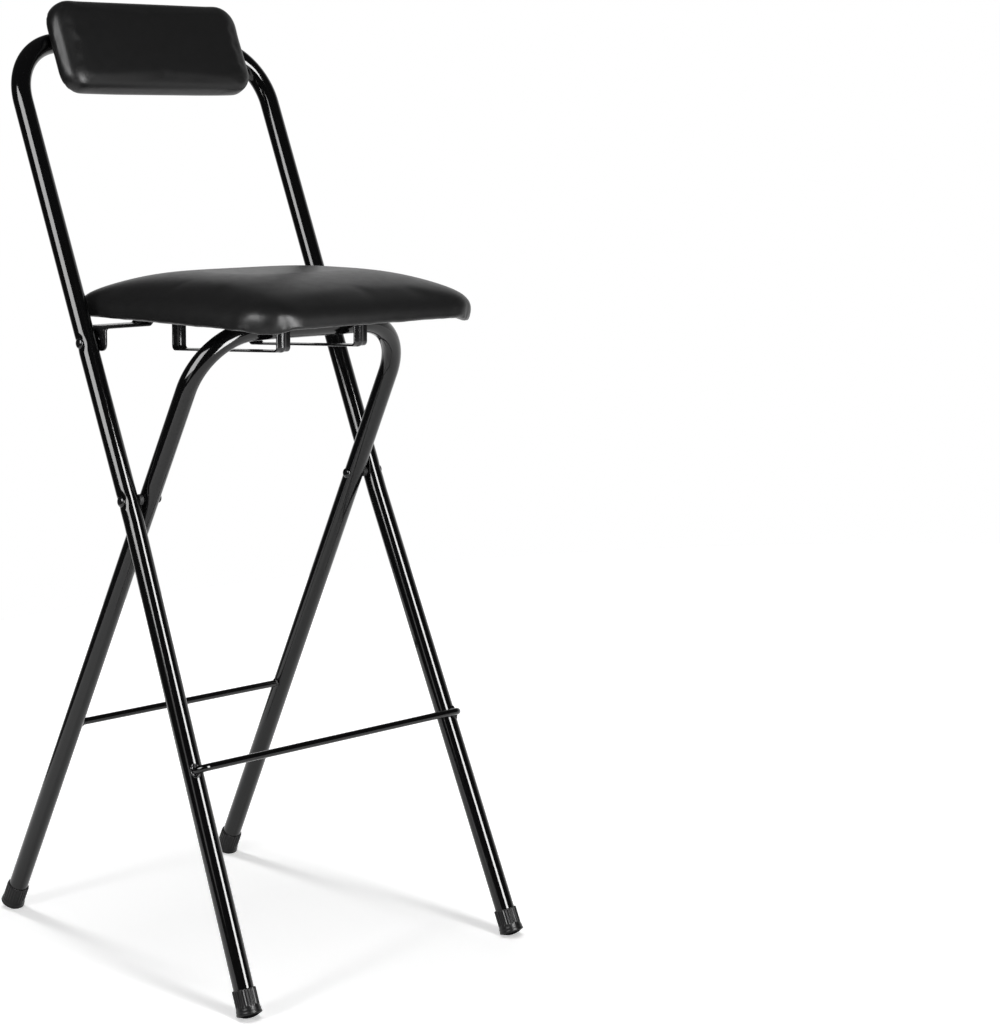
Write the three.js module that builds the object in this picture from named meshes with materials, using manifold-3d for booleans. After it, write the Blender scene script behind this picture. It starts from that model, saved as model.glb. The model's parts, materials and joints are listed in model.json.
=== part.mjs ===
// Folding bar stool: an upside-down U back frame, a narrower leg frame that crosses it, and a padded seat.
// Millimetres, +Z up, the sitter faces -Y. Left is -X and right is +X, as seen from in front.
import * as THREE from 'three';
import { mergeVertices } from 'three/addons/utils/BufferGeometryUtils.js';
import Module from 'manifold-3d';

const wasm = await Module();
wasm.setup();

// Gap between pieces that touch on the real stool, and between a pin and its hole
const touchGap = 0.3;
// How far a cutting tool runs past what it cuts
const cutOverrun = 5;

// Frame tube
const tubeRadius = 11.1;
const tubeWall = 1.2;
const tubeSides = 16;
const boreSides = 12;
const bendSteps = 8;

// Back frame, measured along its own slope from the scissor pivots
const backLeanDegrees = 23.02;
const frontLegLength = 557.2;
const backHeight = 533.1;
const backHalfWidth = 179.2;
const frontFootSpread = 17.6;
const backBendRadius = 71;
const kinkDrop = 25;
const kinkRadius = 60;
const seatAxleHeight = 180;

// Leg frame, measured along its own slope from the scissor pivots
const legLeanDegrees = 26.42;
const frameClearance = 6.2;
const rearFootSpread = 14.4;
const legBendRadius = 71;

// Foot caps
const footHeight = 30;
const footWall = 1.5;
const footFloor = 4;
const footFlare = 1.1;
const footFlareHeight = 4;
const footRibs = 24;
const footRibDepth = 0.5;
const footFlat = 1;

// Rods
const rodRadius = 4;
const rodSides = 12;
const rodBendSteps = 4;
const footrestDrop = 299;
const footrestStandoff = 22;
const footrestBendRadius = 7;
const footrestOverhang = 4;
const stretcherDrop = 306.2;

// Rivets, spacers and washers
const rivetRadius = 3;
const rivetHeadRadius = 6;
const rivetHeadHeight = 2.8;
const rivetSides = 16;
const dimpleDepth = 1.4;
const dimpleReach = 10;
const spacerRadius = 6;
const seatWasherRadius = 8;
const seatWasherThickness = 0.8;

// Seat panel, measured forwards from the seat pivots
const seatSideClearance = 7.1;
const seatFrontReach = 279;
const seatRearReach = 61;
const seatFrontCorner = 52;
const seatRearCorner = 28;
const seatThickness = 49;
const seatCrown = 26;
const seatTuck = 4;
const seatBulge = 3;
const seatRimWidth = 24;
const seatRimDrop = 3.5;
const seatBoardThickness = 11;
const seatBoardInset = 9;

// Seat guides, measured forwards from the seat pivots
const guideOffset = 56;
const guideWidth = 19;
const guideThickness = 2;
const guideHeight = 29.3;
const guideRearReach = 5;
const guideFrontClearance = 9.3;
const guideFrontDepth = 34.5;
const guideBend = 3.5;
const guideLip = 6;
const guideFoot = 16;

// Seat hinge brackets
const bracketThickness = 2.5;
const bracketWidth = 34;
const bracketEarDrop = 9;
const bracketEarCorner = 8;
const bracketArmDrop = 15;
const bracketArmLength = 61;
const bracketJoggle = 12;
const bracketFoot = 20;
const bracketBend = 4;

// Screws
const screwRadius = 2;
const screwLength = 8;
const screwHeadRadius = 4;
const screwHeadHeight = 1.8;
const screwSides = 12;

// Backrest panel, its middle measured down from the crossbar
const backrestHalfWidth = 133;
const backrestHalfHeight = 54.7;
const backrestCorner = 28;
const backrestDrop = 14.3;
const backrestThickness = 29;
const backrestCrown = 5;
const backrestTuck = 2.5;
const backrestBulge = 1.5;
const backrestRimWidth = 19;
const backrestRimThickness = 1.2;
const backrestBoardThickness = 8;
const backrestBoardInset = 5.5;

// Backrest fixings
const boltSpacing = 168;
const boltRadius = 3;
const boltHeadRadius = 7;
const boltHeadHeight = 1.5;
const nutRadius = 5.4;
const nutHeight = 7;
const nutSkirt = 3;
const tabWidth = 22;
const tabThickness = 2;
const tabTop = 4.8;
const tabBottom = 44;
const tabScrewDrop = 32;

// Smoothness of panels and bent sheet
const cornerSteps = 5;
const sideSteps = 4;
const bendRounds = 3;

// Places worked out from the sizes above
const frontFootHalfWidth = backHalfWidth + frontFootSpread;
const legHalfWidth = backHalfWidth - 2 * tubeRadius - frameClearance;
const rearFootHalfWidth = legHalfWidth + rearFootSpread;
const tubeInnerFace = backHalfWidth - tubeRadius;
const seatHalfWidth = tubeInnerFace - seatSideClearance;
const backLean = THREE.MathUtils.degToRad(backLeanDegrees);
const legLean = THREE.MathUtils.degToRad(legLeanDegrees);
const footRadius = tubeRadius + touchGap + footWall;
const footRimRadius = footRadius + footFlare;
const pivotHeight = frontLegLength * Math.cos(backLean) + footRimRadius * Math.sin(backLean) - footFlat;
const rearLegLength = (pivotHeight + footFlat - footRimRadius * Math.sin(legLean)) / Math.cos(legLean);
const frontExtent = frontLegLength * Math.sin(backLean) + footRimRadius * Math.cos(backLean);
const rearExtent = rearLegLength * Math.sin(legLean) + footRimRadius * Math.cos(legLean);
const frontSplay = Math.atan2(frontFootHalfWidth - backHalfWidth, frontLegLength - kinkDrop);
const rearSplay = Math.atan2(rearFootHalfWidth - legHalfWidth, rearLegLength);
const tubeEndGap = footFloor + touchGap;
const rivetOuterSeat = backHalfWidth + tubeRadius - dimpleDepth + touchGap;

// Heights in the seat's own frame, whose origin is on the seat pivots' axis
const seatPivotBehind = seatAxleHeight * Math.sin(backLean);
const seatPivotUp = seatAxleHeight * Math.cos(backLean);
const railUnderside = guideHeight;
const crossbarRise = (seatPivotUp + railUnderside - tubeRadius - touchGap) / Math.cos(legLean);
const crossbarForward = crossbarRise * Math.sin(legLean) + seatPivotBehind;
const guideFrontReach = crossbarForward + tubeRadius + guideFrontClearance + guideThickness;
const boardUnderside = railUnderside + guideThickness + touchGap;
const guideRearBottom = -tubeRadius - 2 * touchGap - guideThickness;

// Seat hinge bracket's places
const earMiddle = tubeInnerFace - seatWasherThickness - 2 * touchGap - bracketThickness / 2;
const armMiddle = boardUnderside - bracketArmDrop;
const bracketFootMiddle = boardUnderside - touchGap - bracketThickness / 2;
const joggleOuter = earMiddle - bracketArmLength;
const joggleInner = joggleOuter - bracketJoggle;
const bracketEnd = joggleInner - bracketFoot;

// Depths in the backrest's own frame, whose origin is on the crossbar's centre plane
const backrestBack = tubeRadius + touchGap;
const backrestBoardBack = backrestBack + backrestRimThickness + touchGap;
const boltHeadBack = backrestBoardBack + backrestBoardThickness - boltHeadHeight;
const boltEnd = tubeRadius + touchGap + nutHeight / 2;

const paint = new THREE.MeshStandardMaterial({ color: 0x0b0b0c, roughness: 0.22, metalness: 0.3 });
const plastic = new THREE.MeshStandardMaterial({ color: 0x17171a, roughness: 0.6, metalness: 0 });
const leather = new THREE.MeshStandardMaterial({ color: 0x1c1c1e, roughness: 0.5, metalness: 0 });
const plywood = new THREE.MeshStandardMaterial({ color: 0x1a1715, roughness: 0.8, metalness: 0 });
const brightSteel = new THREE.MeshStandardMaterial({ color: 0xc9ccd0, roughness: 0.25, metalness: 1 });
const darkSteel = new THREE.MeshStandardMaterial({ color: 0x2a2a2c, roughness: 0.35, metalness: 0.8 });

// Joining and cutting closed meshes
function toSolid(geometry) {
  const bare = geometry.clone();
  bare.deleteAttribute('normal');
  bare.deleteAttribute('uv');
  const merged = mergeVertices(bare);
  const vertProperties = new Float32Array(merged.attributes.position.array);
  const triVerts = new Uint32Array(merged.index.array);
  return new wasm.Manifold(new wasm.Mesh({ numProp: 3, vertProperties, triVerts }));
}

function toGeometry(solid) {
  const mesh = solid.getMesh();
  const geometry = new THREE.BufferGeometry();
  geometry.setAttribute('position', new THREE.BufferAttribute(new Float32Array(mesh.vertProperties), 3));
  geometry.setIndex(new THREE.BufferAttribute(new Uint32Array(mesh.triVerts), 1));
  geometry.computeVertexNormals();
  return geometry;
}

function cut(geometry, ...tools) {
  let solid = toSolid(geometry);
  for (const tool of tools) solid = solid.subtract(toSolid(tool));
  return toGeometry(solid);
}

function join(...geometries) {
  let solid = toSolid(geometries[0]);
  for (const other of geometries.slice(1)) solid = solid.add(toSolid(other));
  return toGeometry(solid);
}

// Pins for drilling, each centred on a point and long enough to pass the depth given
function drillAlongX(radius, depth, x, y, z) {
  const pin = new THREE.CylinderGeometry(radius, radius, depth + 2 * cutOverrun, screwSides);
  pin.rotateZ(Math.PI / 2);
  pin.translate(x, y, z);
  return pin;
}

function drillAlongY(radius, depth, x, y, z) {
  const pin = new THREE.CylinderGeometry(radius, radius, depth + 2 * cutOverrun, screwSides);
  pin.translate(x, y, z);
  return pin;
}

function drillUpright(radius, x, y, from, to) {
  const pin = new THREE.CylinderGeometry(radius, radius, to - from, screwSides);
  pin.rotateX(Math.PI / 2);
  pin.translate(x, y, (from + to) / 2);
  return pin;
}

// A turned body about Z, from [radius, height] pairs that start and end on the axis or close on themselves
function turned(profile, sides) {
  const points = profile.map(([radius, height]) => new THREE.Vector2(radius, height));
  const body = new THREE.LatheGeometry(points, sides);
  body.rotateX(Math.PI / 2);
  return body;
}

// Bars and tubes
function circlePoints(radius, sides) {
  return Array.from({ length: sides }, (unused, i) => {
    const angle = (2 * Math.PI * i) / sides;
    return new THREE.Vector2(radius * Math.cos(angle), radius * Math.sin(angle));
  });
}

// A run of straights and round bends that is stepped only at its own stations
class BentRun extends THREE.Curve {
  constructor(stations) {
    super();
    this.stations = stations;
  }

  station(t) {
    return this.stations[Math.round(t * (this.stations.length - 1))];
  }

  getPoint(t) {
    return this.station(t).point.clone();
  }

  getPointAt(t) {
    return this.getPoint(t);
  }

  getTangent(t) {
    return this.station(t).tangent.clone();
  }

  getTangentAt(t) {
    return this.getTangent(t);
  }
}

// Stations round one bend
function bendStations({ at, radius, steps }, into, out) {
  const turn = into.angleTo(out);
  const start = at.clone().addScaledVector(into, -radius * Math.tan(turn / 2));
  const side = out.clone().addScaledVector(into, -out.dot(into)).normalize();
  return Array.from({ length: steps + 1 }, (unused, i) => {
    const angle = (turn * i) / steps;
    const point = start.clone().addScaledVector(into, radius * Math.sin(angle));
    point.addScaledVector(side, radius * (1 - Math.cos(angle)));
    const tangent = into.clone().multiplyScalar(Math.cos(angle)).addScaledVector(side, Math.sin(angle));
    return { point, tangent };
  });
}

// corners are { at, radius, steps, extras } in order; extras are stations on the straight after the corner
function bentRun(corners) {
  const directions = corners.slice(1).map(({ at }, i) => at.clone().sub(corners[i].at).normalize());
  const stations = corners.flatMap((corner, i) => {
    const into = directions[i - 1];
    const out = directions[i];
    const bend = into && out ? bendStations(corner, into, out) : [{ point: corner.at, tangent: into ?? out }];
    const straight = (corner.extras ?? []).map((point) => ({ point, tangent: out }));
    return [...bend, ...straight];
  });
  return new BentRun(stations);
}

function barAlong(run, radius, sides, boreRadius) {
  const section = new THREE.Shape(circlePoints(radius, sides));
  if (boreRadius) section.holes.push(new THREE.Path(circlePoints(boreRadius, boreSides)));
  const steps = run.stations.length - 1;
  return new THREE.ExtrudeGeometry(section, { steps, bevelEnabled: false, extrudePath: run });
}

// Presses a shallow round dimple into the outboard side of each leg at each height
function pressDimples(geometry, heights) {
  const position = geometry.attributes.position;
  for (let i = 0; i < position.count; i += 1) {
    const x = position.getX(i);
    const outboard = Math.abs(x) > backHalfWidth;
    for (const height of outboard ? heights : []) {
      const reach = Math.hypot(position.getY(i), position.getZ(i) - height) / dimpleReach;
      const press = dimpleDepth * Math.exp(-(reach ** 4));
      position.setX(i, position.getX(i) - Math.sign(x) * press);
    }
  }
}

function backFrameTube() {
  const footX = frontFootHalfWidth - tubeEndGap * Math.sin(frontSplay);
  const footZ = -frontLegLength + tubeEndGap * Math.cos(frontSplay);
  const heights = [0, seatAxleHeight];
  const dimpleShares = [-1.6, -1, -0.5, 0.5, 1, 1.6];
  const leg = (x) => heights.flatMap((height) => (
    dimpleShares.map((share) => new THREE.Vector3(x, 0, height + share * dimpleReach))
  ));
  const top = { radius: backBendRadius, steps: bendSteps };
  const kink = { radius: kinkRadius, steps: 1 };
  const tube = barAlong(bentRun([
    { at: new THREE.Vector3(-footX, 0, footZ) },
    { at: new THREE.Vector3(-backHalfWidth, 0, -kinkDrop), ...kink, extras: leg(-backHalfWidth) },
    { at: new THREE.Vector3(-backHalfWidth, 0, backHeight), ...top },
    { at: new THREE.Vector3(backHalfWidth, 0, backHeight), ...top, extras: leg(backHalfWidth).reverse() },
    { at: new THREE.Vector3(backHalfWidth, 0, -kinkDrop), ...kink },
    { at: new THREE.Vector3(footX, 0, footZ) },
  ]), tubeRadius, tubeSides, tubeRadius - tubeWall);
  pressDimples(tube, heights);
  const rivetHoles = heights.map((height) => (
    drillAlongX(rivetRadius + touchGap, 2 * rivetOuterSeat, 0, 0, height)
  ));
  const boltHoles = [-1, 1].map((side) => (
    drillAlongY(boltRadius + touchGap, 2 * tubeRadius, (side * boltSpacing) / 2, 0, backHeight)
  ));
  return cut(tube, ...rivetHoles, ...boltHoles);
}

function legFrameTube() {
  const footX = rearFootHalfWidth - tubeEndGap * Math.sin(rearSplay);
  const footZ = -rearLegLength + tubeEndGap * Math.cos(rearSplay);
  const topX = legHalfWidth - Math.tan(rearSplay) * crossbarRise;
  const top = { radius: legBendRadius, steps: bendSteps };
  const tube = barAlong(bentRun([
    { at: new THREE.Vector3(-footX, 0, footZ) },
    { at: new THREE.Vector3(-topX, 0, crossbarRise), ...top },
    { at: new THREE.Vector3(topX, 0, crossbarRise), ...top },
    { at: new THREE.Vector3(footX, 0, footZ) },
  ]), tubeRadius, tubeSides, tubeRadius - tubeWall);
  return cut(tube, drillAlongX(rivetRadius + touchGap, 2 * (legHalfWidth + tubeRadius), 0, 0, 0));
}

// Footrest rod: its straight stands in front of the legs and its ends turn back to them
function footrestRod() {
  const legX = backHalfWidth + Math.tan(frontSplay) * (footrestDrop - kinkDrop);
  const endX = legX + footrestOverhang;
  const endY = -tubeRadius - touchGap;
  const bend = { radius: footrestBendRadius, steps: rodBendSteps };
  return barAlong(bentRun([
    { at: new THREE.Vector3(-endX, endY, -footrestDrop) },
    { at: new THREE.Vector3(-endX, -footrestStandoff, -footrestDrop), ...bend },
    { at: new THREE.Vector3(endX, -footrestStandoff, -footrestDrop), ...bend },
    { at: new THREE.Vector3(endX, endY, -footrestDrop) },
  ]), rodRadius, rodSides);
}

function stretcherRod() {
  const legX = legHalfWidth + Math.tan(rearSplay) * stretcherDrop;
  const end = legX - tubeRadius / Math.cos(rearSplay) - touchGap;
  const rod = new THREE.CylinderGeometry(rodRadius, rodRadius, 2 * end, rodSides);
  rod.rotateZ(Math.PI / 2);
  rod.translate(0, 0, -stretcherDrop);
  return rod;
}

// Foot cap: a ribbed cup on a flared rim, its floor at z = 0 and its mouth upwards
function footCap() {
  const section = new THREE.Shape(Array.from({ length: 2 * footRibs }, (unused, i) => {
    const angle = (Math.PI * i) / footRibs;
    const radius = i % 2 === 0 ? footRadius : footRadius - footRibDepth;
    return new THREE.Vector2(radius * Math.cos(angle), radius * Math.sin(angle));
  }));
  const ribbed = new THREE.ExtrudeGeometry(section, {
    depth: footHeight - footFlareHeight,
    bevelEnabled: false,
  });
  ribbed.translate(0, 0, footFlareHeight);
  const rim = turned([
    [0, 0],
    [footRimRadius, 0],
    [footRimRadius, footFlareHeight],
    [footRadius, footFlareHeight + footFlare],
    [0, footFlareHeight + footFlare],
  ], footRibs);
  const boreRadius = (tubeRadius + touchGap) / Math.cos(Math.PI / footRibs);
  const bore = new THREE.CylinderGeometry(boreRadius, boreRadius, footHeight, footRibs);
  bore.rotateX(Math.PI / 2);
  bore.translate(0, 0, footFloor + footHeight / 2);
  return cut(join(ribbed, rim), bore);
}

// Rivet along X with a domed head at each end, from the face that one head sits on to the other's
function rivet(side, inner, outer) {
  const domeShares = [[0, 1], [0.5, 0.87], [0.87, 0.5], [1, 0]];
  const dome = (seat, way) => domeShares.map(([out, up]) => (
    [rivetHeadRadius * out, seat + way * rivetHeadHeight * up]
  ));
  const body = turned([
    ...dome(inner, -1),
    [rivetRadius, inner],
    [rivetRadius, outer],
    ...dome(outer, 1).reverse(),
  ], rivetSides);
  body.rotateY((side * Math.PI) / 2);
  return body;
}

// Spacer or washer along X
function collar(side, radius, from, to) {
  const bore = rivetRadius + touchGap;
  const body = turned([[bore, from], [radius, from], [radius, to], [bore, to], [bore, from]], rivetSides);
  body.rotateY((side * Math.PI) / 2);
  return body;
}

// Outline of a panel drawn in by the inset; its straight sides swell outwards by the bulge in their middles
function panelOutline({ halfWidth, top, bottom, topCorner, bottomCorner }, inset, bulge) {
  const corners = [
    { x: halfWidth, y: top, radius: topCorner },
    { x: -halfWidth, y: top, radius: topCorner },
    { x: -halfWidth, y: bottom, radius: bottomCorner },
    { x: halfWidth, y: bottom, radius: bottomCorner },
  ];
  const onCorner = ({ x, y, radius }, angle) => {
    const centre = new THREE.Vector2(x - Math.sign(x) * radius, y === top ? y - radius : y + radius);
    return centre.add(new THREE.Vector2(Math.cos(angle), Math.sin(angle)).multiplyScalar(radius - inset));
  };
  return corners.flatMap((corner, i) => {
    const from = (Math.PI / 2) * i;
    const arc = Array.from({ length: cornerSteps + 1 }, (unused, s) => (
      onCorner(corner, from + ((Math.PI / 2) * s) / cornerSteps)
    ));
    const start = arc[cornerSteps];
    const end = onCorner(corners[(i + 1) % corners.length], from + Math.PI / 2);
    const outward = new THREE.Vector2(end.y - start.y, start.x - end.x).normalize();
    const side = Array.from({ length: sideSteps - 1 }, (unused, s) => {
      const share = (s + 1) / sideSteps;
      return start.clone().lerp(end, share).addScaledVector(outward, 4 * bulge * share * (1 - share));
    });
    return [...arc, ...side];
  });
}

function slab(outline, from, to) {
  const body = new THREE.ExtrudeGeometry(new THREE.Shape(outline), { depth: to - from, bevelEnabled: false });
  body.translate(0, 0, from);
  return body;
}

// Crowned cushion: rings up its side, fullest just above the lower edge, then rings up the crown that turn
// from the panel's outline to an ellipse
function cushion(panel, bottom, thickness, crown, tuck, bulge) {
  const sideShares = [[0, 1], [0.08, 0.3], [0.22, 0], [0.45, 0.3], [0.68, 1.1], [0.87, 2.4], [1, 4.4]];
  const crownShares = [0.92, 0.8, 0.62, 0.36];
  const crownPower = 4;
  const sideHeight = thickness - crown;
  const rings = sideShares.map(([up, inward]) => (
    panelOutline(panel, bulge + inward * tuck, bulge).map(({ x, y }) => [x, y, bottom + up * sideHeight])
  ));
  const shoulder = rings[rings.length - 1];
  const middle = (panel.top + panel.bottom) / 2;
  const ellipse = Math.min(panel.halfWidth, panel.top - middle);
  const stretch = new THREE.Vector2(panel.halfWidth, panel.top - middle).divideScalar(ellipse);
  for (const share of crownShares) {
    const height = bottom + sideHeight + crown * (1 - share ** crownPower);
    const turn = Math.min(2 * (1 - share), 1);
    rings.push(shoulder.map(([x, y]) => {
      const out = new THREE.Vector2(x, y - middle);
      const round = out.clone().divide(stretch).setLength(ellipse).multiply(stretch);
      out.lerp(round, turn).multiplyScalar(share);
      return [out.x, middle + out.y, height];
    }));
  }
  const count = shoulder.length;
  const vertices = [...rings.flat(), [0, middle, bottom], [0, middle, bottom + thickness]];
  const lowest = vertices.length - 2;
  const highest = vertices.length - 1;
  const triangles = [];
  for (let i = 0; i < count; i += 1) {
    const next = (i + 1) % count;
    triangles.push(lowest, next, i);
    for (let level = 0; level < rings.length - 1; level += 1) {
      const here = level * count;
      triangles.push(here + i, here + next, here + count + next);
      triangles.push(here + i, here + count + next, here + count + i);
    }
    triangles.push(highest, lowest - count + i, lowest - count + next);
  }
  const geometry = new THREE.BufferGeometry();
  geometry.setAttribute('position', new THREE.BufferAttribute(new Float32Array(vertices.flat()), 3));
  geometry.setIndex(triangles);
  geometry.computeVertexNormals();
  return geometry;
}

// Cuts a pocket for the board into a cushion, and a mouth through the rim that wraps under the board
function wrapRound(body, panel, boardInset, rimWidth, boardFrom, boardThickness) {
  const pocket = slab(
    panelOutline(panel, boardInset - touchGap, 0),
    boardFrom - touchGap,
    boardFrom + boardThickness + touchGap,
  );
  const mouth = slab(
    panelOutline(panel, rimWidth, 0),
    boardFrom - cutOverrun,
    boardFrom + boardThickness / 2,
  );
  return cut(body, pocket, mouth);
}

// Seat, in its own frame: X across, Y forwards from the pivots, Z up
const seatPanel = {
  halfWidth: seatHalfWidth,
  top: seatFrontReach,
  bottom: -seatRearReach,
  topCorner: seatFrontCorner,
  bottomCorner: seatRearCorner,
};

function seatCushion() {
  const bottom = boardUnderside - seatRimDrop;
  const body = cushion(seatPanel, bottom, seatThickness, seatCrown, seatTuck, seatBulge);
  return wrapRound(body, seatPanel, seatBoardInset, seatRimWidth, boardUnderside, seatBoardThickness);
}

function bracketScrewPlaces(side) {
  const x = side * (bracketEnd + bracketFoot / 2);
  return [-1, 1].map((way) => ({ x, y: (way * bracketWidth) / 4 }));
}

function guideScrewPlaces(side) {
  const reaches = [guideRearReach - guideFoot / 2, guideFrontReach + guideFoot / 2];
  return reaches.map((y) => ({ x: side * guideOffset, y }));
}

function seatBoard() {
  const board = slab(
    panelOutline(seatPanel, seatBoardInset, 0),
    boardUnderside,
    boardUnderside + seatBoardThickness,
  );
  const places = [-1, 1].flatMap((side) => [...bracketScrewPlaces(side), ...guideScrewPlaces(side)]);
  return cut(board, ...places.map(({ x, y }) => drillUpright(
    screwRadius + touchGap,
    x,
    y,
    boardUnderside - cutOverrun,
    boardUnderside + screwLength + touchGap,
  )));
}

// Strip of sheet steel that follows a path of middle points, extruded to both sides across its width
function bentStrip(points, thickness, width) {
  const last = points.length - 1;
  const heading = (i) => points[i + 1].clone().sub(points[i]).normalize();
  const offset = (way) => points.map((point, i) => {
    const into = heading(Math.max(i - 1, 0));
    const out = heading(Math.min(i, last - 1));
    const normal = new THREE.Vector2(-into.y - out.y, into.x + out.x).normalize();
    const square = normal.dot(new THREE.Vector2(-into.y, into.x));
    return point.clone().addScaledVector(normal, (way * thickness) / (2 * square));
  });
  const shape = new THREE.Shape([...offset(-1), ...offset(1).reverse()]);
  const strip = new THREE.ExtrudeGeometry(shape, { depth: width, bevelEnabled: false });
  strip.translate(0, 0, -width / 2);
  return strip;
}

// Path through [x, y] corners, each rounded off
function roundedPath(corners, radius) {
  const at = corners.map(([x, y]) => new THREE.Vector2(x, y));
  const last = at.length - 1;
  const rounded = at.slice(1, last).flatMap((corner, i) => {
    const into = corner.clone().sub(at[i]).normalize();
    const out = at[i + 2].clone().sub(corner).normalize();
    const turn = Math.acos(THREE.MathUtils.clamp(into.dot(out), -1, 1));
    const reach = radius * Math.tan(turn / 2);
    const start = corner.clone().addScaledVector(into, -reach);
    const end = corner.clone().addScaledVector(out, reach);
    return Array.from({ length: bendRounds + 1 }, (unused, step) => {
      const share = step / bendRounds;
      return start.clone().lerp(corner, share).lerp(corner.clone().lerp(end, share), share);
    });
  });
  return [at[0], ...rounded, at[last]];
}

// Turns what was drawn as (forwards, up) and extruded across into the seat's frame
function standForwards(geometry) {
  const across = new THREE.Vector3(1, 0, 0);
  const forwards = new THREE.Vector3(0, 1, 0);
  const up = new THREE.Vector3(0, 0, 1);
  return geometry.applyMatrix4(new THREE.Matrix4().makeBasis(forwards, up, across));
}

// Guide: a rail under the board with a leg hanging at each end, and each leg turns in to a short lip
function seatGuide(side) {
  const railMiddle = railUnderside + guideThickness / 2;
  const rear = guideRearReach + guideThickness / 2;
  const front = guideFrontReach - guideThickness / 2;
  const rail = bentStrip(
    roundedPath([[rear - guideFoot, railMiddle], [front + guideFoot, railMiddle]], guideBend),
    guideThickness,
    guideWidth,
  );
  const leg = (reach, bottom, inwards) => bentStrip(
    roundedPath([[reach, railMiddle], [reach, bottom], [reach + inwards * guideLip, bottom]], guideBend),
    guideThickness,
    guideWidth,
  );
  const rearLeg = leg(rear, guideRearBottom + guideThickness / 2, 1);
  const frontLeg = leg(front, railUnderside - guideFrontDepth + guideThickness / 2, -1);
  const strap = standForwards(join(rail, rearLeg, frontLeg));
  strap.translate(side * guideOffset, 0, 0);
  return cut(strap, ...guideScrewPlaces(side).map(({ x, y }) => (
    drillUpright(screwRadius + touchGap, x, y, railUnderside - cutOverrun, boardUnderside + cutOverrun)
  )));
}

// Hinge bracket: a foot under the board, a joggle down, an arm outwards and an ear round the rivet
function hingeBracket(side) {
  const earTop = armMiddle - bracketBend - bracketThickness;
  const strip = bentStrip(
    roundedPath([
      [side * earMiddle, earTop],
      [side * earMiddle, armMiddle],
      [side * joggleOuter, armMiddle],
      [side * joggleInner, bracketFootMiddle],
      [side * bracketEnd, bracketFootMiddle],
    ], bracketBend),
    bracketThickness,
    bracketWidth,
  );
  strip.rotateX(Math.PI / 2);
  const half = bracketWidth / 2;
  const cornerUp = bracketEarCorner - bracketEarDrop;
  const outline = new THREE.Shape();
  outline.moveTo(half, earTop + bracketThickness);
  outline.lineTo(-half, earTop + bracketThickness);
  outline.lineTo(-half, cornerUp);
  outline.absarc(bracketEarCorner - half, cornerUp, bracketEarCorner, Math.PI, 1.5 * Math.PI);
  outline.absarc(half - bracketEarCorner, cornerUp, bracketEarCorner, -Math.PI / 2, 0);
  const options = { depth: bracketThickness, bevelEnabled: false, curveSegments: cornerSteps };
  const ear = standForwards(new THREE.ExtrudeGeometry(outline, options));
  ear.translate(side * earMiddle - bracketThickness / 2, 0, 0);
  const pivotHole = drillAlongX(rivetRadius + touchGap, bracketThickness, side * earMiddle, 0, 0);
  return cut(join(strip, ear), pivotHole, ...bracketScrewPlaces(side).map(({ x, y }) => (
    drillUpright(screwRadius + touchGap, x, y, bracketFootMiddle - cutOverrun, boardUnderside + cutOverrun)
  )));
}

// Screw driven along +Z: its pan head sits under z = 0
function screw() {
  return turned([
    [0, -screwHeadHeight],
    [screwHeadRadius / 2, -screwHeadHeight],
    [screwHeadRadius, -screwHeadHeight / 2],
    [screwHeadRadius, 0],
    [screwRadius, 0],
    [screwRadius, screwLength],
    [0, screwLength],
  ], screwSides);
}

// Backrest, in its own frame: X across, Y up the panel, Z towards the sitter
const backrestPanel = {
  halfWidth: backrestHalfWidth,
  top: backrestHalfHeight,
  bottom: -backrestHalfHeight,
  topCorner: backrestCorner,
  bottomCorner: backrestCorner,
};
const tabScrewUp = backrestDrop - tabScrewDrop;
const tabFront = backrestBoardBack - touchGap;

function backrestPad() {
  const body = cushion(
    backrestPanel,
    backrestBack,
    backrestThickness,
    backrestCrown,
    backrestTuck,
    backrestBulge,
  );
  return wrapRound(
    body,
    backrestPanel,
    backrestBoardInset,
    backrestRimWidth,
    backrestBoardBack,
    backrestBoardThickness,
  );
}

function backrestBoard() {
  const front = backrestBoardBack + backrestBoardThickness;
  const board = slab(panelOutline(backrestPanel, backrestBoardInset, 0), backrestBoardBack, front);
  const back = backrestBoardBack - cutOverrun;
  const tools = [-1, 1].flatMap((side) => {
    const x = (side * boltSpacing) / 2;
    return [
      drillUpright(boltRadius + touchGap, x, backrestDrop, back, front),
      drillUpright(boltHeadRadius + touchGap, x, backrestDrop, boltHeadBack - touchGap, front + cutOverrun),
    ];
  });
  const screwEnd = tabFront - tabThickness + screwLength;
  return cut(board, ...tools, drillUpright(screwRadius + touchGap, 0, tabScrewUp, back, screwEnd));
}

function backrestBolt() {
  return turned([
    [0, -boltEnd],
    [boltRadius, -boltEnd],
    [boltRadius, boltHeadBack],
    [boltHeadRadius, boltHeadBack],
    [boltHeadRadius, boltHeadBack + boltHeadHeight],
    [0, boltHeadBack + boltHeadHeight],
  ], rivetSides);
}

// Domed nut behind the crossbar, with a blind hole for the bolt
function backrestNut() {
  const face = -tubeRadius - touchGap;
  const dome = nutHeight - nutSkirt;
  const domeShares = [[1, 0], [0.87, 0.5], [0.5, 0.87], [0, 1]];
  const bore = boltRadius + touchGap;
  return turned([
    [0, -boltEnd - touchGap],
    [bore, -boltEnd - touchGap],
    [bore, face],
    [nutRadius, face],
    ...domeShares.map(([out, up]) => [nutRadius * out, face - nutSkirt - dome * up]),
  ].reverse(), rivetSides);
}

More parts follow.
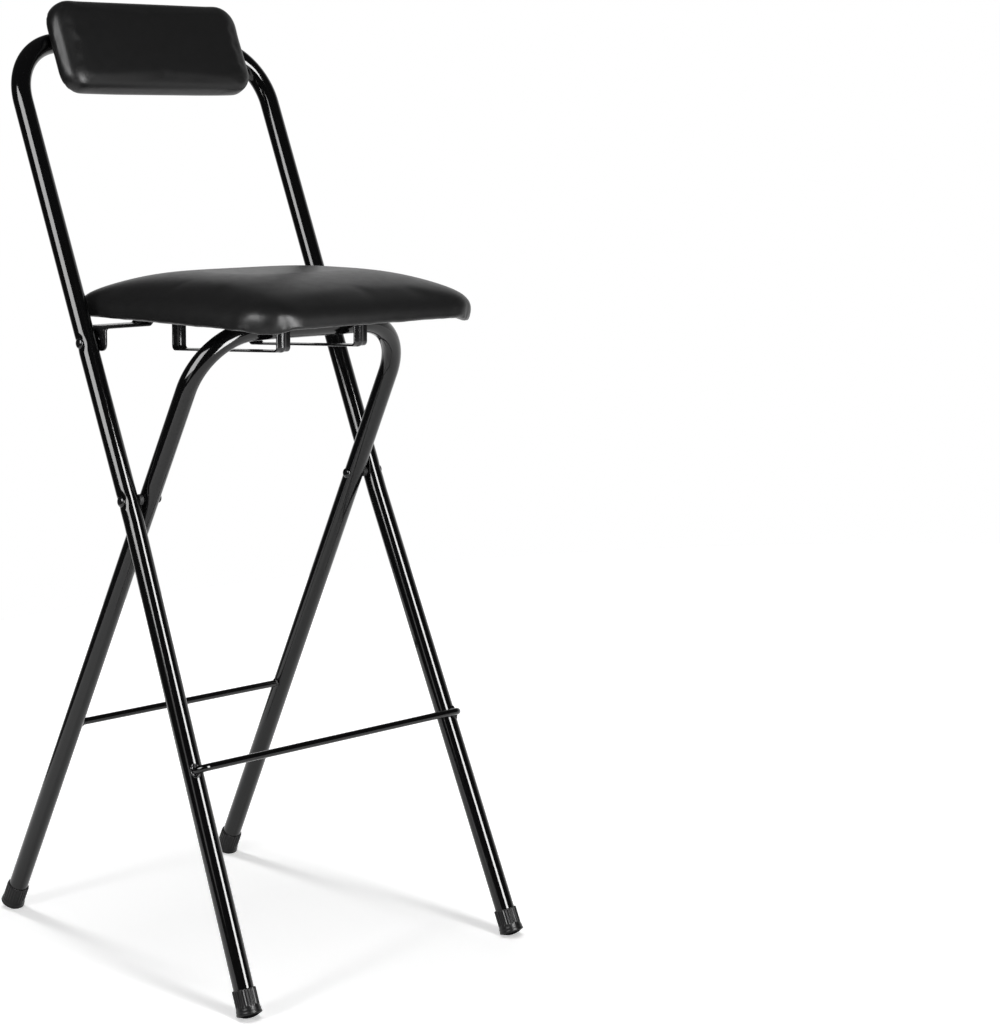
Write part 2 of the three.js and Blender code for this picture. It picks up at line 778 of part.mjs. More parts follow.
// Tab welded under the crossbar, flat against the board
function backrestTab() {
  const half = tabWidth / 2;
  const outline = new THREE.Shape();
  outline.moveTo(half, backrestDrop - tabTop);
  outline.lineTo(-half, backrestDrop - tabTop);
  outline.lineTo(-half, backrestDrop - tabBottom);
  outline.lineTo(half, backrestDrop - tabBottom);
  const plate = new THREE.ExtrudeGeometry(outline, { depth: tabThickness, bevelEnabled: false });
  plate.translate(0, 0, tabFront - tabThickness);
  const from = tabFront - tabThickness - cutOverrun;
  return cut(plate, drillUpright(screwRadius + touchGap, 0, tabScrewUp, from, tabFront + cutOverrun));
}

// Assembly
const stool = new THREE.Group();
const frame = new THREE.Group();
frame.position.set(0, (frontExtent - rearExtent) / 2, pivotHeight);
stool.add(frame);

function place(parent, name, geometry, material) {
  const mesh = new THREE.Mesh(geometry, material);
  mesh.name = name;
  parent.add(mesh);
  return mesh;
}

function placeFoot(parent, name, side, halfWidth, length, splay) {
  const foot = place(parent, name, footCap(), plastic);
  foot.position.set(side * halfWidth, 0, -length);
  foot.rotation.y = -side * splay;
  return foot;
}

const sides = [['left', -1], ['right', 1]];
const feet = [];

// Back frame
const backFrame = new THREE.Group();
backFrame.rotation.x = -backLean;
frame.add(backFrame);
place(backFrame, 'back_frame_tube', backFrameTube(), paint);
place(backFrame, 'footrest_rod', footrestRod(), paint);
for (const [word, side] of sides) {
  const legOuterFace = legHalfWidth + tubeRadius;
  const legInnerFace = legHalfWidth - tubeRadius;
  feet.push(placeFoot(backFrame, `front_foot_${word}`, side, frontFootHalfWidth, frontLegLength, frontSplay));
  place(backFrame, `scissor_rivet_${word}`, rivet(side, legInnerFace - touchGap, rivetOuterSeat), darkSteel);
  const spacer = collar(side, spacerRadius, legOuterFace + touchGap, tubeInnerFace - touchGap);
  place(backFrame, `scissor_spacer_${word}`, spacer, plastic);
  const earInnerFace = earMiddle - bracketThickness / 2;
  const axle = rivet(side, earInnerFace - touchGap, rivetOuterSeat);
  const seatRivet = place(backFrame, `seat_rivet_${word}`, axle, darkSteel);
  const washerOuter = tubeInnerFace - touchGap;
  const washer = collar(side, seatWasherRadius, washerOuter - seatWasherThickness, washerOuter);
  const seatWasher = place(backFrame, `seat_washer_${word}`, washer, darkSteel);
  seatRivet.position.z = seatAxleHeight;
  seatWasher.position.z = seatAxleHeight;
}

// Backrest, on the back frame
const backrest = new THREE.Group();
backrest.position.z = backHeight - backrestDrop;
backrest.rotation.x = Math.PI / 2;
backFrame.add(backrest);
place(backrest, 'backrest_board', backrestBoard(), plywood);
place(backrest, 'backrest_pad', backrestPad(), leather);
place(backrest, 'backrest_tab', backrestTab(), paint);
const tabScrew = place(backrest, 'backrest_tab_screw', screw(), brightSteel);
tabScrew.position.set(0, tabScrewUp, tabFront - tabThickness - touchGap);
for (const [word, side] of sides) {
  const bolt = place(backrest, `backrest_bolt_${word}`, backrestBolt(), brightSteel);
  const nut = place(backrest, `backrest_nut_${word}`, backrestNut(), brightSteel);
  bolt.position.set((side * boltSpacing) / 2, backrestDrop, 0);
  nut.position.copy(bolt.position);
}

// Leg frame
const legFrame = new THREE.Group();
legFrame.rotation.x = legLean;
frame.add(legFrame);
place(legFrame, 'leg_frame_tube', legFrameTube(), paint);
place(legFrame, 'rear_stretcher_rod', stretcherRod(), paint);
for (const [word, side] of sides) {
  feet.push(placeFoot(legFrame, `rear_foot_${word}`, side, rearFootHalfWidth, rearLegLength, rearSplay));
}

// Seat: its own frame is turned half round, so that its Y runs forwards
const seat = new THREE.Group();
seat.position.set(0, seatPivotBehind, seatPivotUp);
seat.rotation.z = Math.PI;
frame.add(seat);
place(seat, 'seat_board', seatBoard(), plywood);
place(seat, 'seat_cushion', seatCushion(), leather);
for (const [word, worldSide] of sides) {
  const side = -worldSide;
  place(seat, `seat_hinge_bracket_${word}`, hingeBracket(side), paint);
  place(seat, `seat_guide_${word}`, seatGuide(side), paint);
  const bracketUnderside = bracketFootMiddle - bracketThickness / 2;
  const screws = [
    ...bracketScrewPlaces(side).map((at) => ({ ...at, z: bracketUnderside, use: 'bracket' })),
    ...guideScrewPlaces(side).map((at) => ({ ...at, z: railUnderside, use: 'guide' })),
  ];
  for (const { x, y, z, use } of screws) {
    const end = y < seatFrontReach / 2 && (use === 'guide' || y < 0) ? 'rear' : 'front';
    const piece = place(seat, `${use}_screw_${end}_${word}`, screw(), brightSteel);
    piece.position.set(x, y, z - touchGap);
  }
}

// The feet's lowest edges are flattened where they stand on the floor
stool.updateMatrixWorld(true);
const floorSize = 4 * (frontExtent + rearExtent);
for (const foot of feet) {
  const ground = new THREE.BoxGeometry(floorSize, floorSize, floorSize);
  ground.translate(0, 0, -floorSize / 2);
  ground.applyMatrix4(foot.matrixWorld.clone().invert());
  foot.geometry = cut(foot.geometry, ground);
}

export default stool;
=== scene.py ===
# Folding bar stool: two crossing frames of round steel tube, a padded seat and a low padded backrest.
# Metres, +Z up, the sitter faces -Y. Left is -X, as seen from in front.
import json
import math

import bmesh
import bpy
from mathutils import Matrix, Vector, noise


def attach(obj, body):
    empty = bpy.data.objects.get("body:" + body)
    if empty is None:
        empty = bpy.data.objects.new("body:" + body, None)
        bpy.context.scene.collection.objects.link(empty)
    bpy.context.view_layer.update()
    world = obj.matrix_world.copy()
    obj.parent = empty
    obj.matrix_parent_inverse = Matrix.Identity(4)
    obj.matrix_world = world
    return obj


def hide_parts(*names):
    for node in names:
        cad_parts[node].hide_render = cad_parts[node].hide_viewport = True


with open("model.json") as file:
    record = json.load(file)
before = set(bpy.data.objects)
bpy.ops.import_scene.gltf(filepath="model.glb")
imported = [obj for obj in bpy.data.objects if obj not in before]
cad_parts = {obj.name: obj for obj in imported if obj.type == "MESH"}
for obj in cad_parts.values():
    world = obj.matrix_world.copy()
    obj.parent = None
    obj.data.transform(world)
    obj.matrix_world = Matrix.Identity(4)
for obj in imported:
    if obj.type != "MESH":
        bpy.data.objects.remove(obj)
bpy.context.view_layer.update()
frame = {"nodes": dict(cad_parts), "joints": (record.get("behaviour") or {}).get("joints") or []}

# Studio: a white floor that glows a little, a long lamp overhead that runs from front to back, and a low
# one at the left. The glossy tubes mirror three upright lamps as lines, and a white wall at their edges.
photo_width = 1000
photo_height = 1026
focal_pixels = 2432.6
axis_column = 330
film = 36
eye = Vector((-1.7555, -2.0791, 0.9143))
turned_right = math.radians(42.2)
tilted_down = math.radians(9.01)


def deselect_all():
    """Leaves nothing selected for the next operator to act on."""
    bpy.ops.object.select_all(action="DESELECT")


deselect_all()
bpy.ops.object.camera_add(location=eye, rotation=(math.pi / 2 - tilted_down, 0, -turned_right))
camera = bpy.context.object
camera.data.sensor_width = film
camera.data.lens = film * focal_pixels / photo_height
camera.data.shift_x = (photo_width / 2 - axis_column) / photo_height
bpy.context.scene.camera = camera

floor_reach = 2.6
floor_sides = 96
floor_middle = (1.04, -0.94, 0)
floor_glow_from = 0.6
floor_glow = (0.5, 0.95)
bpy.ops.mesh.primitive_circle_add(
    vertices=floor_sides, radius=floor_reach, fill_type="NGON", location=floor_middle
)
studio_floor = bpy.context.object
studio_floor.name = "studio_floor"
bpy.ops.object.transform_apply()


def finish(name, colour, roughness, metallic=0.0, mirror=0.5):
    """A material with its plain values set on the shader."""
    made = bpy.data.materials.new(name)
    made.use_nodes = True
    sockets = made.node_tree.nodes["Principled BSDF"].inputs
    sockets["Base Color"].default_value = (*colour, 1)
    sockets["Roughness"].default_value = roughness
    sockets["Metallic"].default_value = metallic
    sockets["Specular IOR Level"].default_value = mirror
    return made


def paint(piece, material):
    """Gives a piece its one material."""
    piece.data.materials.clear()
    piece.data.materials.append(material)


def change_range(tree, source, target, old, new):
    """Links a value to a socket, stretched from one range to another."""
    stretch = tree.nodes.new("ShaderNodeMapRange")
    for socket, value in zip(("From Min", "From Max", "To Min", "To Max"), (*old, *new)):
        stretch.inputs[socket].default_value = value
    tree.links.new(source, stretch.inputs["Value"])
    tree.links.new(stretch.outputs["Result"], target)


paper = finish("studio_paper", (0.9, 0.9, 0.9), 0.9)
tree = paper.node_tree
paper_inputs = tree.nodes["Principled BSDF"].inputs
paper_inputs["Emission Color"].default_value = (1, 1, 1, 1)
place_on_floor = tree.nodes.new("ShaderNodeTexCoord")
distance = tree.nodes.new("ShaderNodeVectorMath")
distance.operation = "LENGTH"
tree.links.new(place_on_floor.outputs["Object"], distance.inputs[0])
glow = paper_inputs["Emission Strength"]
change_range(tree, distance.outputs["Value"], glow, (floor_glow_from, floor_reach), floor_glow)
paint(studio_floor, paper)


def softbox(name, place, aim, size, watts, mirrored=True, shines=True):
    """An area light that faces the point it is aimed at and doesn't show itself."""
    bpy.ops.object.light_add(type="AREA", location=place)
    lamp = bpy.context.object
    lamp.name = name
    lamp.data.shape = "RECTANGLE"
    lamp.data.size, lamp.data.size_y = size
    lamp.data.energy = watts
    lamp.rotation_euler = (Vector(aim) - Vector(place)).to_track_quat("-Z", "Y").to_euler()
    lamp.visible_camera = False
    lamp.visible_glossy = mirrored
    lamp.visible_diffuse = shines


softbox("light_overhead", (0, 0, 3), (0, 0, 0.5), (0.35, 3.4), 66, mirrored=False)
softbox("light_left_low", (-2.2, -0.3, 0.9), (0, 0, 0.2), (0.3, 0.5), 14, mirrored=False)
softbox("light_left", (-1.35, -0.15, 1.3), (0, -0.1, 1.1), (0.9, 1.1), 38, shines=False)
softbox("light_left_dim", (-1.5, -0.45, 0.55), (-0.17, -0.1, 0.35), (0.34, 0.46), 0.8, shines=False)
softbox("light_front_strip", (0, -1.3, 0.9), (0, 0, 0.8), (0.46, 1.1), 42, shines=False)

wall_bearing = (0.885, 0.466, -0.6)
wall_edge = (0.34, 0.77)
wall_glow = (0.05, 1)
backdrop = bpy.data.worlds.new("studio")
bpy.context.scene.world = backdrop
backdrop.use_nodes = True
tree = backdrop.node_tree
around = tree.nodes["Background"]
around.inputs["Color"].default_value = (1, 1, 1, 1)
bearing_there = tree.nodes.new("ShaderNodeTexCoord")
towards_wall = tree.nodes.new("ShaderNodeVectorMath")
towards_wall.operation = "DOT_PRODUCT"
towards_wall.inputs[1].default_value = wall_bearing
seen = tree.nodes.new("ShaderNodeBackground")
seen.inputs["Color"].default_value = (1, 1, 1, 1)
straight_view = tree.nodes.new("ShaderNodeLightPath")
either = tree.nodes.new("ShaderNodeMixShader")
tree.links.new(bearing_there.outputs["Generated"], towards_wall.inputs[0])
change_range(tree, towards_wall.outputs["Value"], around.inputs["Strength"], wall_edge, wall_glow)
tree.links.new(straight_view.outputs["Is Camera Ray"], either.inputs["Fac"])
tree.links.new(around.outputs["Background"], either.inputs[1])
tree.links.new(seen.outputs["Background"], either.inputs[2])
tree.links.new(either.outputs["Shader"], tree.nodes["World Output"].inputs["Surface"])
bpy.context.scene.view_settings.view_transform = "Standard"

# Back frame tube: one length of 22 mm steel tube with a 1.2 mm wall, bent to an upside-down U, its legs
# splayed a little below the scissor rivets. It is pressed in round each rivet and nut, then painted black.
tube_radius = 0.0111
tube_wall = 0.0012
tube_sides = 48
back_lean = math.radians(23.02)
front_leg_length = 0.5572
front_foot_half_width = 0.1968
back_half_width = 0.1792
back_height = 0.5331
back_bend_radius = 0.071
kink_drop = 0.025
kink_radius = 0.06
seat_pivot_rise = 0.18
tube_end_gap = 0.0043
bolt_spacing = 0.168
press_depth = 0.0014
press_reach = 0.0085
ring_spacing = 0.0016
leg_rings = 6
bend_steps = 24
kink_steps = 3
pivot_rings = 4
bar_rings = 3
tube_crease = 50
patch_grains = 12
patch_detail = 4
merge_distance = 1e-5
joint_place = {joint["name"]: Vector(joint["pos_m"]) for joint in frame["joints"]}
scissor_pivot = joint_place["leg_fold"]
back_turn = Matrix.Rotation(-back_lean, 4, "X")
front_splay = math.atan2(front_foot_half_width - back_half_width, front_leg_length - kink_drop)


def start_tube(name, radius, sides, at, heading):
    """An open ring at a point of the XZ plane, square to its heading, which is counted from +Z to +X."""
    deselect_all()
    bpy.ops.mesh.primitive_circle_add(
        vertices=sides, radius=radius, location=(at[0], 0, at[1]), rotation=(0, heading, 0)
    )
    bpy.ops.object.transform_apply()
    bpy.context.object.name = name
    bpy.ops.object.mode_set(mode="EDIT")
    return {"at": Vector(at), "heading": heading}


def run_straight(run, length, rings=1):
    """Draws the open end on along its heading."""
    way = Vector((math.sin(run["heading"]), math.cos(run["heading"])))
    step = way * length / rings
    for ring in range(rings):
        bpy.ops.mesh.extrude_edges_move(TRANSFORM_OT_translate={"value": (step.x, 0, step.y)})
    run["at"] = run["at"] + way * length


def run_round(run, angle, radius, steps):
    """Bends the open end round, to the right of its heading where the angle is positive."""
    side = math.copysign(radius, angle)
    square = Vector((math.cos(run["heading"]), -math.sin(run["heading"]))) * side
    centre = run["at"] + square
    bpy.ops.mesh.spin(steps=steps, angle=-angle, center=(centre.x, 0, centre.y), axis=(0, 1, 0))
    x, y = -square
    cos, sin = math.cos(angle), math.sin(angle)
    run["at"] = centre + Vector((x * cos + y * sin, y * cos - x * sin))
    run["heading"] += angle


def pick(piece):
    """Makes one piece active, and the only one that is selected."""
    deselect_all()
    bpy.context.view_layer.objects.active = piece
    piece.select_set(True)


def open_whole(piece):
    """Opens one piece for editing, with all of it selected."""
    pick(piece)
    bpy.ops.object.mode_set(mode="EDIT")
    bpy.ops.mesh.select_all(action="SELECT")


def face_outwards():
    """Turns every face of the open piece outwards and closes it for editing."""
    bpy.ops.mesh.select_all(action="SELECT")
    bpy.ops.mesh.normals_make_consistent(inside=False)
    bpy.ops.object.mode_set(mode="OBJECT")


def finish_modifiers(piece):
    """Applies what modifiers the piece has, in order."""
    pick(piece)
    for modifier in list(piece.modifiers):
        bpy.ops.object.modifier_apply(modifier=modifier.name)


def mirror_across(piece, closed=False):
    """Mirrors the left half of a piece to the right, and closes its ends where it is a solid bar."""
    bpy.ops.object.mode_set(mode="OBJECT")
    mirror = piece.modifiers.new("mirror", "MIRROR")
    mirror.merge_threshold = merge_distance
    finish_modifiers(piece)
    open_whole(piece)
    bpy.ops.mesh.remove_doubles(threshold=merge_distance)
    if closed:
        bpy.ops.mesh.fill_holes(sides=0)
    face_outwards()


def thicken_inwards(piece, wall):
    """Gives a skin its wall, on its inner side."""
    skin = piece.modifiers.new("wall", "SOLIDIFY")
    skin.thickness = wall
    skin.offset = -1
    finish_modifiers(piece)


def press_in(piece, centre, way):
    """Presses a round hollow into the side of a tube that faces against the way it is pressed."""
    for vertex in piece.data.vertices:
        out = vertex.co - centre
        along = out.dot(way)
        if along <= 0:
            away = (out - along * way).length / press_reach
            vertex.co += way * press_depth * math.exp(-(away**4))


def stand(piece, place, turn=Matrix.Identity(4)):
    """Moves a piece from its own frame to its place, and leaves its object at the origin."""
    pick(piece)
    piece.matrix_world = Matrix.Translation(place) @ turn
    bpy.ops.object.transform_apply()


def dress(piece, body, slot, material, *nodes):
    """Gives a piece its material and body, and hides the imported nodes that it stands for. The slot is
    not used.
    """
    paint(piece, material)
    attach(piece, body)
    if nodes:
        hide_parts(*nodes)


def smooth(piece, crease=35):
    """Shades a piece smooth and keeps its sharper edges."""
    pick(piece)
    bpy.ops.object.shade_smooth_by_angle(angle=math.radians(crease))


def add_grain(material, scale, depth, cells=False, blotch=0.0):
    """Adds a raised grain to a material, from a pattern in the piece's own space, and uneven gloss."""
    tree = material.node_tree
    shader = tree.nodes["Principled BSDF"]
    where = tree.nodes.new("ShaderNodeTexCoord").outputs["Object"]
    grain = tree.nodes.new("ShaderNodeTexVoronoi" if cells else "ShaderNodeTexNoise")
    grain.inputs["Scale"].default_value = scale
    height = grain.outputs["Distance" if cells else "Fac"]
    tree.links.new(where, grain.inputs["Vector"])
    bump = tree.nodes.new("ShaderNodeBump")
    bump.inputs["Distance"].default_value = depth
    tree.links.new(height, bump.inputs["Height"])
    tree.links.new(bump.outputs["Normal"], shader.inputs["Normal"])
    if blotch:
        patch = tree.nodes.new("ShaderNodeTexNoise")
        patch.inputs["Scale"].default_value = scale / patch_grains
        patch.inputs["Detail"].default_value = patch_detail
        tree.links.new(where, patch.inputs["Vector"])
        middle = shader.inputs["Roughness"].default_value
        spread = (middle - blotch, middle + blotch)
        change_range(tree, patch.outputs["Fac"], shader.inputs["Roughness"], (0, 1), spread)


gloss_black = finish("gloss_black_paint", (0.0025, 0.0025, 0.0027), 0.09, mirror=0.4)
add_grain(gloss_black, 420, 0.00003, blotch=0.03)


def paint_black(piece, body, *nodes):
    """Dresses a steel piece of either frame in the frames' paint."""
    dress(piece, body, "frame_paint", gloss_black, *nodes)


foot_x = front_foot_half_width - tube_end_gap * math.sin(front_splay)
foot_z = front_leg_length - tube_end_gap * math.cos(front_splay)
to_kink = (foot_z - kink_drop) / math.cos(front_splay)
kink_cut = kink_radius * math.tan(front_splay / 2)
fine_reach = 2 * press_reach
fine_rings = round(2 * fine_reach / ring_spacing)
run = start_tube("back_frame_tube_skin", tube_radius, tube_sides, (-foot_x, -foot_z), front_splay)
run_straight(run, to_kink - kink_cut, leg_rings)
run_round(run, -front_splay, kink_radius, kink_steps)
run_straight(run, -fine_reach - run["at"].y)
run_straight(run, 2 * fine_reach, fine_rings)
run_straight(run, seat_pivot_rise - 2 * fine_reach, pivot_rings)
run_straight(run, 2 * fine_reach, fine_rings)
run_straight(run, back_height - back_bend_radius - run["at"].y, leg_rings)
run_round(run, math.pi / 2, back_bend_radius, bend_steps)
run_straight(run, -bolt_spacing / 2 - fine_reach - run["at"].x)
run_straight(run, 2 * fine_reach, fine_rings)
run_straight(run, -run["at"].x, bar_rings)
back_frame_tube = bpy.context.object
mirror_across(back_frame_tube)
for side in (-1, 1):
    inward = Vector((-side, 0, 0))
    for height in (0, seat_pivot_rise):
        centre = Vector((side * back_half_width, 0, height))
        press_in(back_frame_tube, centre, inward)
    centre = Vector((side * bolt_spacing / 2, 0, back_height))
    press_in(back_frame_tube, centre, Vector((0, -1, 0)))
thicken_inwards(back_frame_tube, tube_wall)
smooth(back_frame_tube, tube_crease)
stand(back_frame_tube, scissor_pivot, back_turn)
paint_black(back_frame_tube, "back_frame", "back_frame_tube")

# Footrest rod: 8 mm steel bar that stands clear in front of the back frame's legs. Its ends bend back and
# are welded to them, and the painted weld shows as a lumpy collar.
rod_radius = 0.004
rod_sides = 24
footrest_drop = 0.299
footrest_standoff = 0.022
footrest_bend = 0.0105
footrest_overhang = 0.004
both_sides = (("left", -1), ("right", 1))
weld_half_width = 0.0036
weld_half_height = 0.0062
weld_bead = 0.0019
weld_lumps = 7
weld_ripple = 0.12
weld_unevenness = 0.3
weld_grain = 400
footrest_weld_seed = 3
weld_rings = 54
weld_sides = 12
rod_rings = 12
rod_bend_steps = 10
round_crease = 60
rest_half = back_half_width + math.tan(front_splay) * (footrest_drop - kink_drop)
rod_half = rest_half + footrest_overhang


def weld_collar(name, seed, half_width, half_height, bead, surface):
    """A lumpy ring of weld round a bar's end, in its own XY plane, lying on the surface under it."""
    deselect_all()
    bpy.ops.mesh.primitive_torus_add(
        major_radius=half_width, minor_radius=bead, major_segments=weld_rings, minor_segments=weld_sides
    )
    piece = bpy.context.object
    piece.name = name
    for vertex in piece.data.vertices:
        angle = math.atan2(vertex.co.y, vertex.co.x)
        way = Vector((math.cos(angle), math.sin(angle), 0))
        ripple = weld_ripple * math.sin(weld_lumps * angle + seed)
        lump = weld_unevenness * noise.noise(vertex.co * weld_grain + Vector((seed, seed, seed)))
        out = (vertex.co - way * half_width).normalized()
        x, y = way.x * half_width, way.y * half_height
        vertex.co = Vector((x, y, surface(x, y))) + out * bead * (1 + ripple + lump)
    smooth(piece, round_crease)
    return piece


def frame_point(turn, x, z):
    """A point in the middle plane of a leaning tube frame, from its scissor pivots."""
    return scissor_pivot + turn @ Vector((x, 0, z))


run = start_tube("footrest_rod_bar", rod_radius, rod_sides, (-rod_half, tube_radius), 0)
run_straight(run, footrest_standoff - footrest_bend - tube_radius)
run_round(run, math.pi / 2, footrest_bend, rod_bend_steps)
run_straight(run, -run["at"].x, rod_rings)
footrest_rod = bpy.context.object
mirror_across(footrest_rod, closed=True)
smooth(footrest_rod)
facing_front = back_turn @ Matrix.Rotation(math.pi / 2, 4, "X")
stand(footrest_rod, frame_point(back_turn, 0, -footrest_drop), facing_front)
paint_black(footrest_rod, "back_frame", "footrest_rod")
for word, side in both_sides:
    weld = weld_collar(
        "footrest_weld_" + word, footrest_weld_seed + side, weld_half_width, weld_half_height, weld_bead,
        lambda x, y: math.sqrt(tube_radius**2 - (x + side * footrest_overhang) ** 2)
    )
    stand(weld, frame_point(back_turn, side * rod_half, -footrest_drop), facing_front)
    paint_black(weld, "back_frame")

# Leg frame tube: a narrower upside-down U of the same tube. Its straight legs splay all the way from the
# crossbar, which runs across under the seat, to the rear feet.
leg_lean = math.radians(26.42)
leg_turn = Matrix.Rotation(leg_lean, 4, "X")
crossbar_rise = 0.205
leg_half_width = 0.1508
rear_foot_half_width = 0.1652
leg_bend_radius = 0.071
foot_rim_radius = 0.014
foot_flat = 0.001
pivot_height = scissor_pivot.z
rear_leg_length = (pivot_height + foot_flat - foot_rim_radius * math.sin(leg_lean)) / math.cos(leg_lean)
rear_splay = math.atan2(rear_foot_half_width - leg_half_width, rear_leg_length)

foot_x = rear_foot_half_width - tube_end_gap * math.sin(rear_splay)
foot_z = rear_leg_length - tube_end_gap * math.cos(rear_splay)
bend_angle = math.pi / 2 - rear_splay
bend_cut = leg_bend_radius * math.tan(bend_angle / 2)
run = start_tube("leg_frame_tube_skin", tube_radius, tube_sides, (-foot_x, -foot_z), rear_splay)
run_straight(run, (foot_z + crossbar_rise) / math.cos(rear_splay) - bend_cut, 2 * leg_rings)
run_round(run, bend_angle, leg_bend_radius, bend_steps)
run_straight(run, -run["at"].x, bar_rings)
leg_frame_tube = bpy.context.object
mirror_across(leg_frame_tube)
thicken_inwards(leg_frame_tube, tube_wall)
smooth(leg_frame_tube, tube_crease)
stand(leg_frame_tube, scissor_pivot, leg_turn)
paint_black(leg_frame_tube, "leg_frame", "leg_frame_tube")

# Rear stretcher: the same 8 mm bar, cut straight and welded between the rear legs. It is painted with
# them, and the weld shows at each end as a small collar.
stretcher_drop = 0.3062
stretcher_weld_seed = 7
stretcher_half = leg_half_width + math.tan(rear_splay) * stretcher_drop - tube_radius

run = start_tube("rear_stretcher_bar", rod_radius, rod_sides, (-stretcher_half, 0), math.pi / 2)
run_straight(run, stretcher_half, rod_rings)
stretcher = bpy.context.object
mirror_across(stretcher, closed=True)
smooth(stretcher)
stand(stretcher, frame_point(leg_turn, 0, -stretcher_drop), leg_turn)
paint_black(stretcher, "leg_frame", "rear_stretcher_rod")
for word, side in both_sides:
    weld = weld_collar(
        "stretcher_weld_" + word, stretcher_weld_seed + side, weld_half_width, weld_half_width, weld_bead,
        lambda x, y: math.sqrt(tube_radius**2 - y**2) - tube_radius + weld_bead / 2
    )
    place = frame_point(leg_turn, side * stretcher_half, -stretcher_drop)
    stand(weld, place, leg_turn @ Matrix.Rotation(-side * math.pi / 2, 4, "Y"))
    paint_black(weld, "leg_frame")

# Foot caps: moulded soft plastic cups pushed over the tube ends, with fine ribs round the sleeve, a smooth
# flared rim and a domed, scuffed sole. Each stands on its rim's lowest edge, cut flat by the floor.
foot_ribs = 24
foot_sides = 6 * foot_ribs
foot_height = 0.0272
foot_radius = 0.0129
rib_depth = 0.0009
rib_foot = 0.0088
rib_fade = 0.0016
rib_skin = 0.0012
sole_share = 0.8
fine_gap = 1e-6


def turned(name, sides, profile, hollow=False):
    """A turned piece about its own Z, drawn ring by ring from pairs of radius and height."""
    radius, height = profile[0]
    deselect_all()
    bpy.ops.mesh.primitive_circle_add(vertices=sides, radius=radius, location=(0, 0, height))
    bpy.ops.object.transform_apply()
    piece = bpy.context.object
    piece.name = name
    bpy.ops.object.mode_set(mode="EDIT")
    for next_radius, next_height in profile[1:]:
        bpy.ops.mesh.extrude_edges_move(TRANSFORM_OT_translate={"value": (0, 0, next_height - height)})
        grow = next_radius / radius
        bpy.ops.transform.resize(value=(grow, grow, 1), center_override=(0, 0, next_height))
        radius, height = next_radius, next_height
    bpy.ops.mesh.select_all(action="SELECT")
    if hollow:
        bpy.ops.mesh.remove_doubles(threshold=fine_gap)
    else:
        bpy.ops.mesh.fill_holes(sides=0)
    face_outwards()
    return piece


foot_profile = [
    (0.0006, -0.0034), (0.0040, -0.0031), (0.0075, -0.0022), (0.0105, -0.0009), (0.0124, -0.0001),
    (0.0133, 0.0001), (0.0138, 0.0005), (0.0140, 0.0013), (0.0139, 0.0024), (0.0135, 0.0032),
    (0.0134, 0.0040), (0.0136, 0.0046), (0.0135, 0.0056), (0.0131, 0.0066), (0.0129, 0.0080),
    (0.0129, 0.0090), (0.0129, 0.0098), (0.0129, 0.0106),
    (0.0129, foot_height - 0.0014), (0.0128, foot_height - 0.0006), (0.0124, foot_height - 0.0001),
    (0.0118, foot_height), (0.0114, foot_height - 0.0003), (0.0114, 0.0042),
]
soft_plastic = finish("ribbed_foot_plastic", (0.006, 0.006, 0.0063), 0.33, mirror=0.25)
add_grain(soft_plastic, 900, 0.00004, blotch=0.06)
dull_sole = finish("scuffed_foot_sole", (0.006, 0.006, 0.0063), 0.95, mirror=0.0)
add_grain(dull_sole, 900, 0.00006)
foot_places = (
    ("front_foot", "back_frame", back_turn, front_foot_half_width, front_leg_length, front_splay),
    ("rear_foot", "leg_frame", leg_turn, rear_foot_half_width, rear_leg_length, rear_splay),
)
for end, body, lean, half_width, length, splay in foot_places:
    for word, side in both_sides:
        foot = turned(f"{end}_cap_{word}", foot_sides, foot_profile)
        for vertex in foot.data.vertices:
            out = Vector((vertex.co.x, vertex.co.y))
            if out.length >= foot_radius - rib_skin and vertex.co.z >= rib_foot:
                share = min((vertex.co.z - rib_foot) / rib_fade, 1)
                wave = 0.5 - 0.5 * math.cos(foot_ribs * math.atan2(out.y, out.x))
                shrink = 1 - share * rib_depth * wave / out.length
                vertex.co.x *= shrink
                vertex.co.y *= shrink
        smooth(foot, round_crease)
        place = frame_point(lean, side * half_width, -length)
        foot_turn = lean @ Matrix.Rotation(-side * splay, 4, "Y")
        stand(foot, place, foot_turn)
        open_whole(foot)
        bpy.ops.mesh.bisect(
            plane_co=(0, 0, 0), plane_no=(0, 0, 1), clear_inner=True, use_fill=True, threshold=fine_gap
        )
        bpy.ops.object.mode_set(mode="OBJECT")
        dress(foot, body, "foot_plastic", soft_plastic, f"{end}_{word}")
        foot.data.materials.append(dull_sole)
        down_the_leg = foot_turn @ Vector((0, 0, -1))
        for face in foot.data.polygons:
            if face.normal.dot(down_the_leg) > sole_share:
                face.material_index = 1

# Scissor rivets: domed steel rivets that pin the two frames together, each through both tubes, with a
# black plastic sleeve between the tubes.
rivet_radius = 0.003
rivet_head_radius = 0.006
rivet_head_height = 0.0028
rivet_sides = 32
rivet_tip = 0.0006
dome_steps = 7
sleeve_radius = 0.006
sleeve_edge = 0.0004
touch_gap = 0.0003
leg_inner_face = leg_half_width - tube_radius
leg_outer_face = leg_half_width + tube_radius
back_inner_face = back_half_width - tube_radius
rivet_outer_seat = back_half_width + tube_radius - press_depth + touch_gap
dark_steel = finish("blackened_rivet_steel", (0.012, 0.012, 0.013), 0.1, 0.2)
add_grain(dark_steel, 700, 0.00002, blotch=0.05)
sleeve_plastic = finish("sleeve_plastic", (0.015, 0.015, 0.016), 0.5)
add_grain(sleeve_plastic, 800, 0.00003, blotch=0.06)


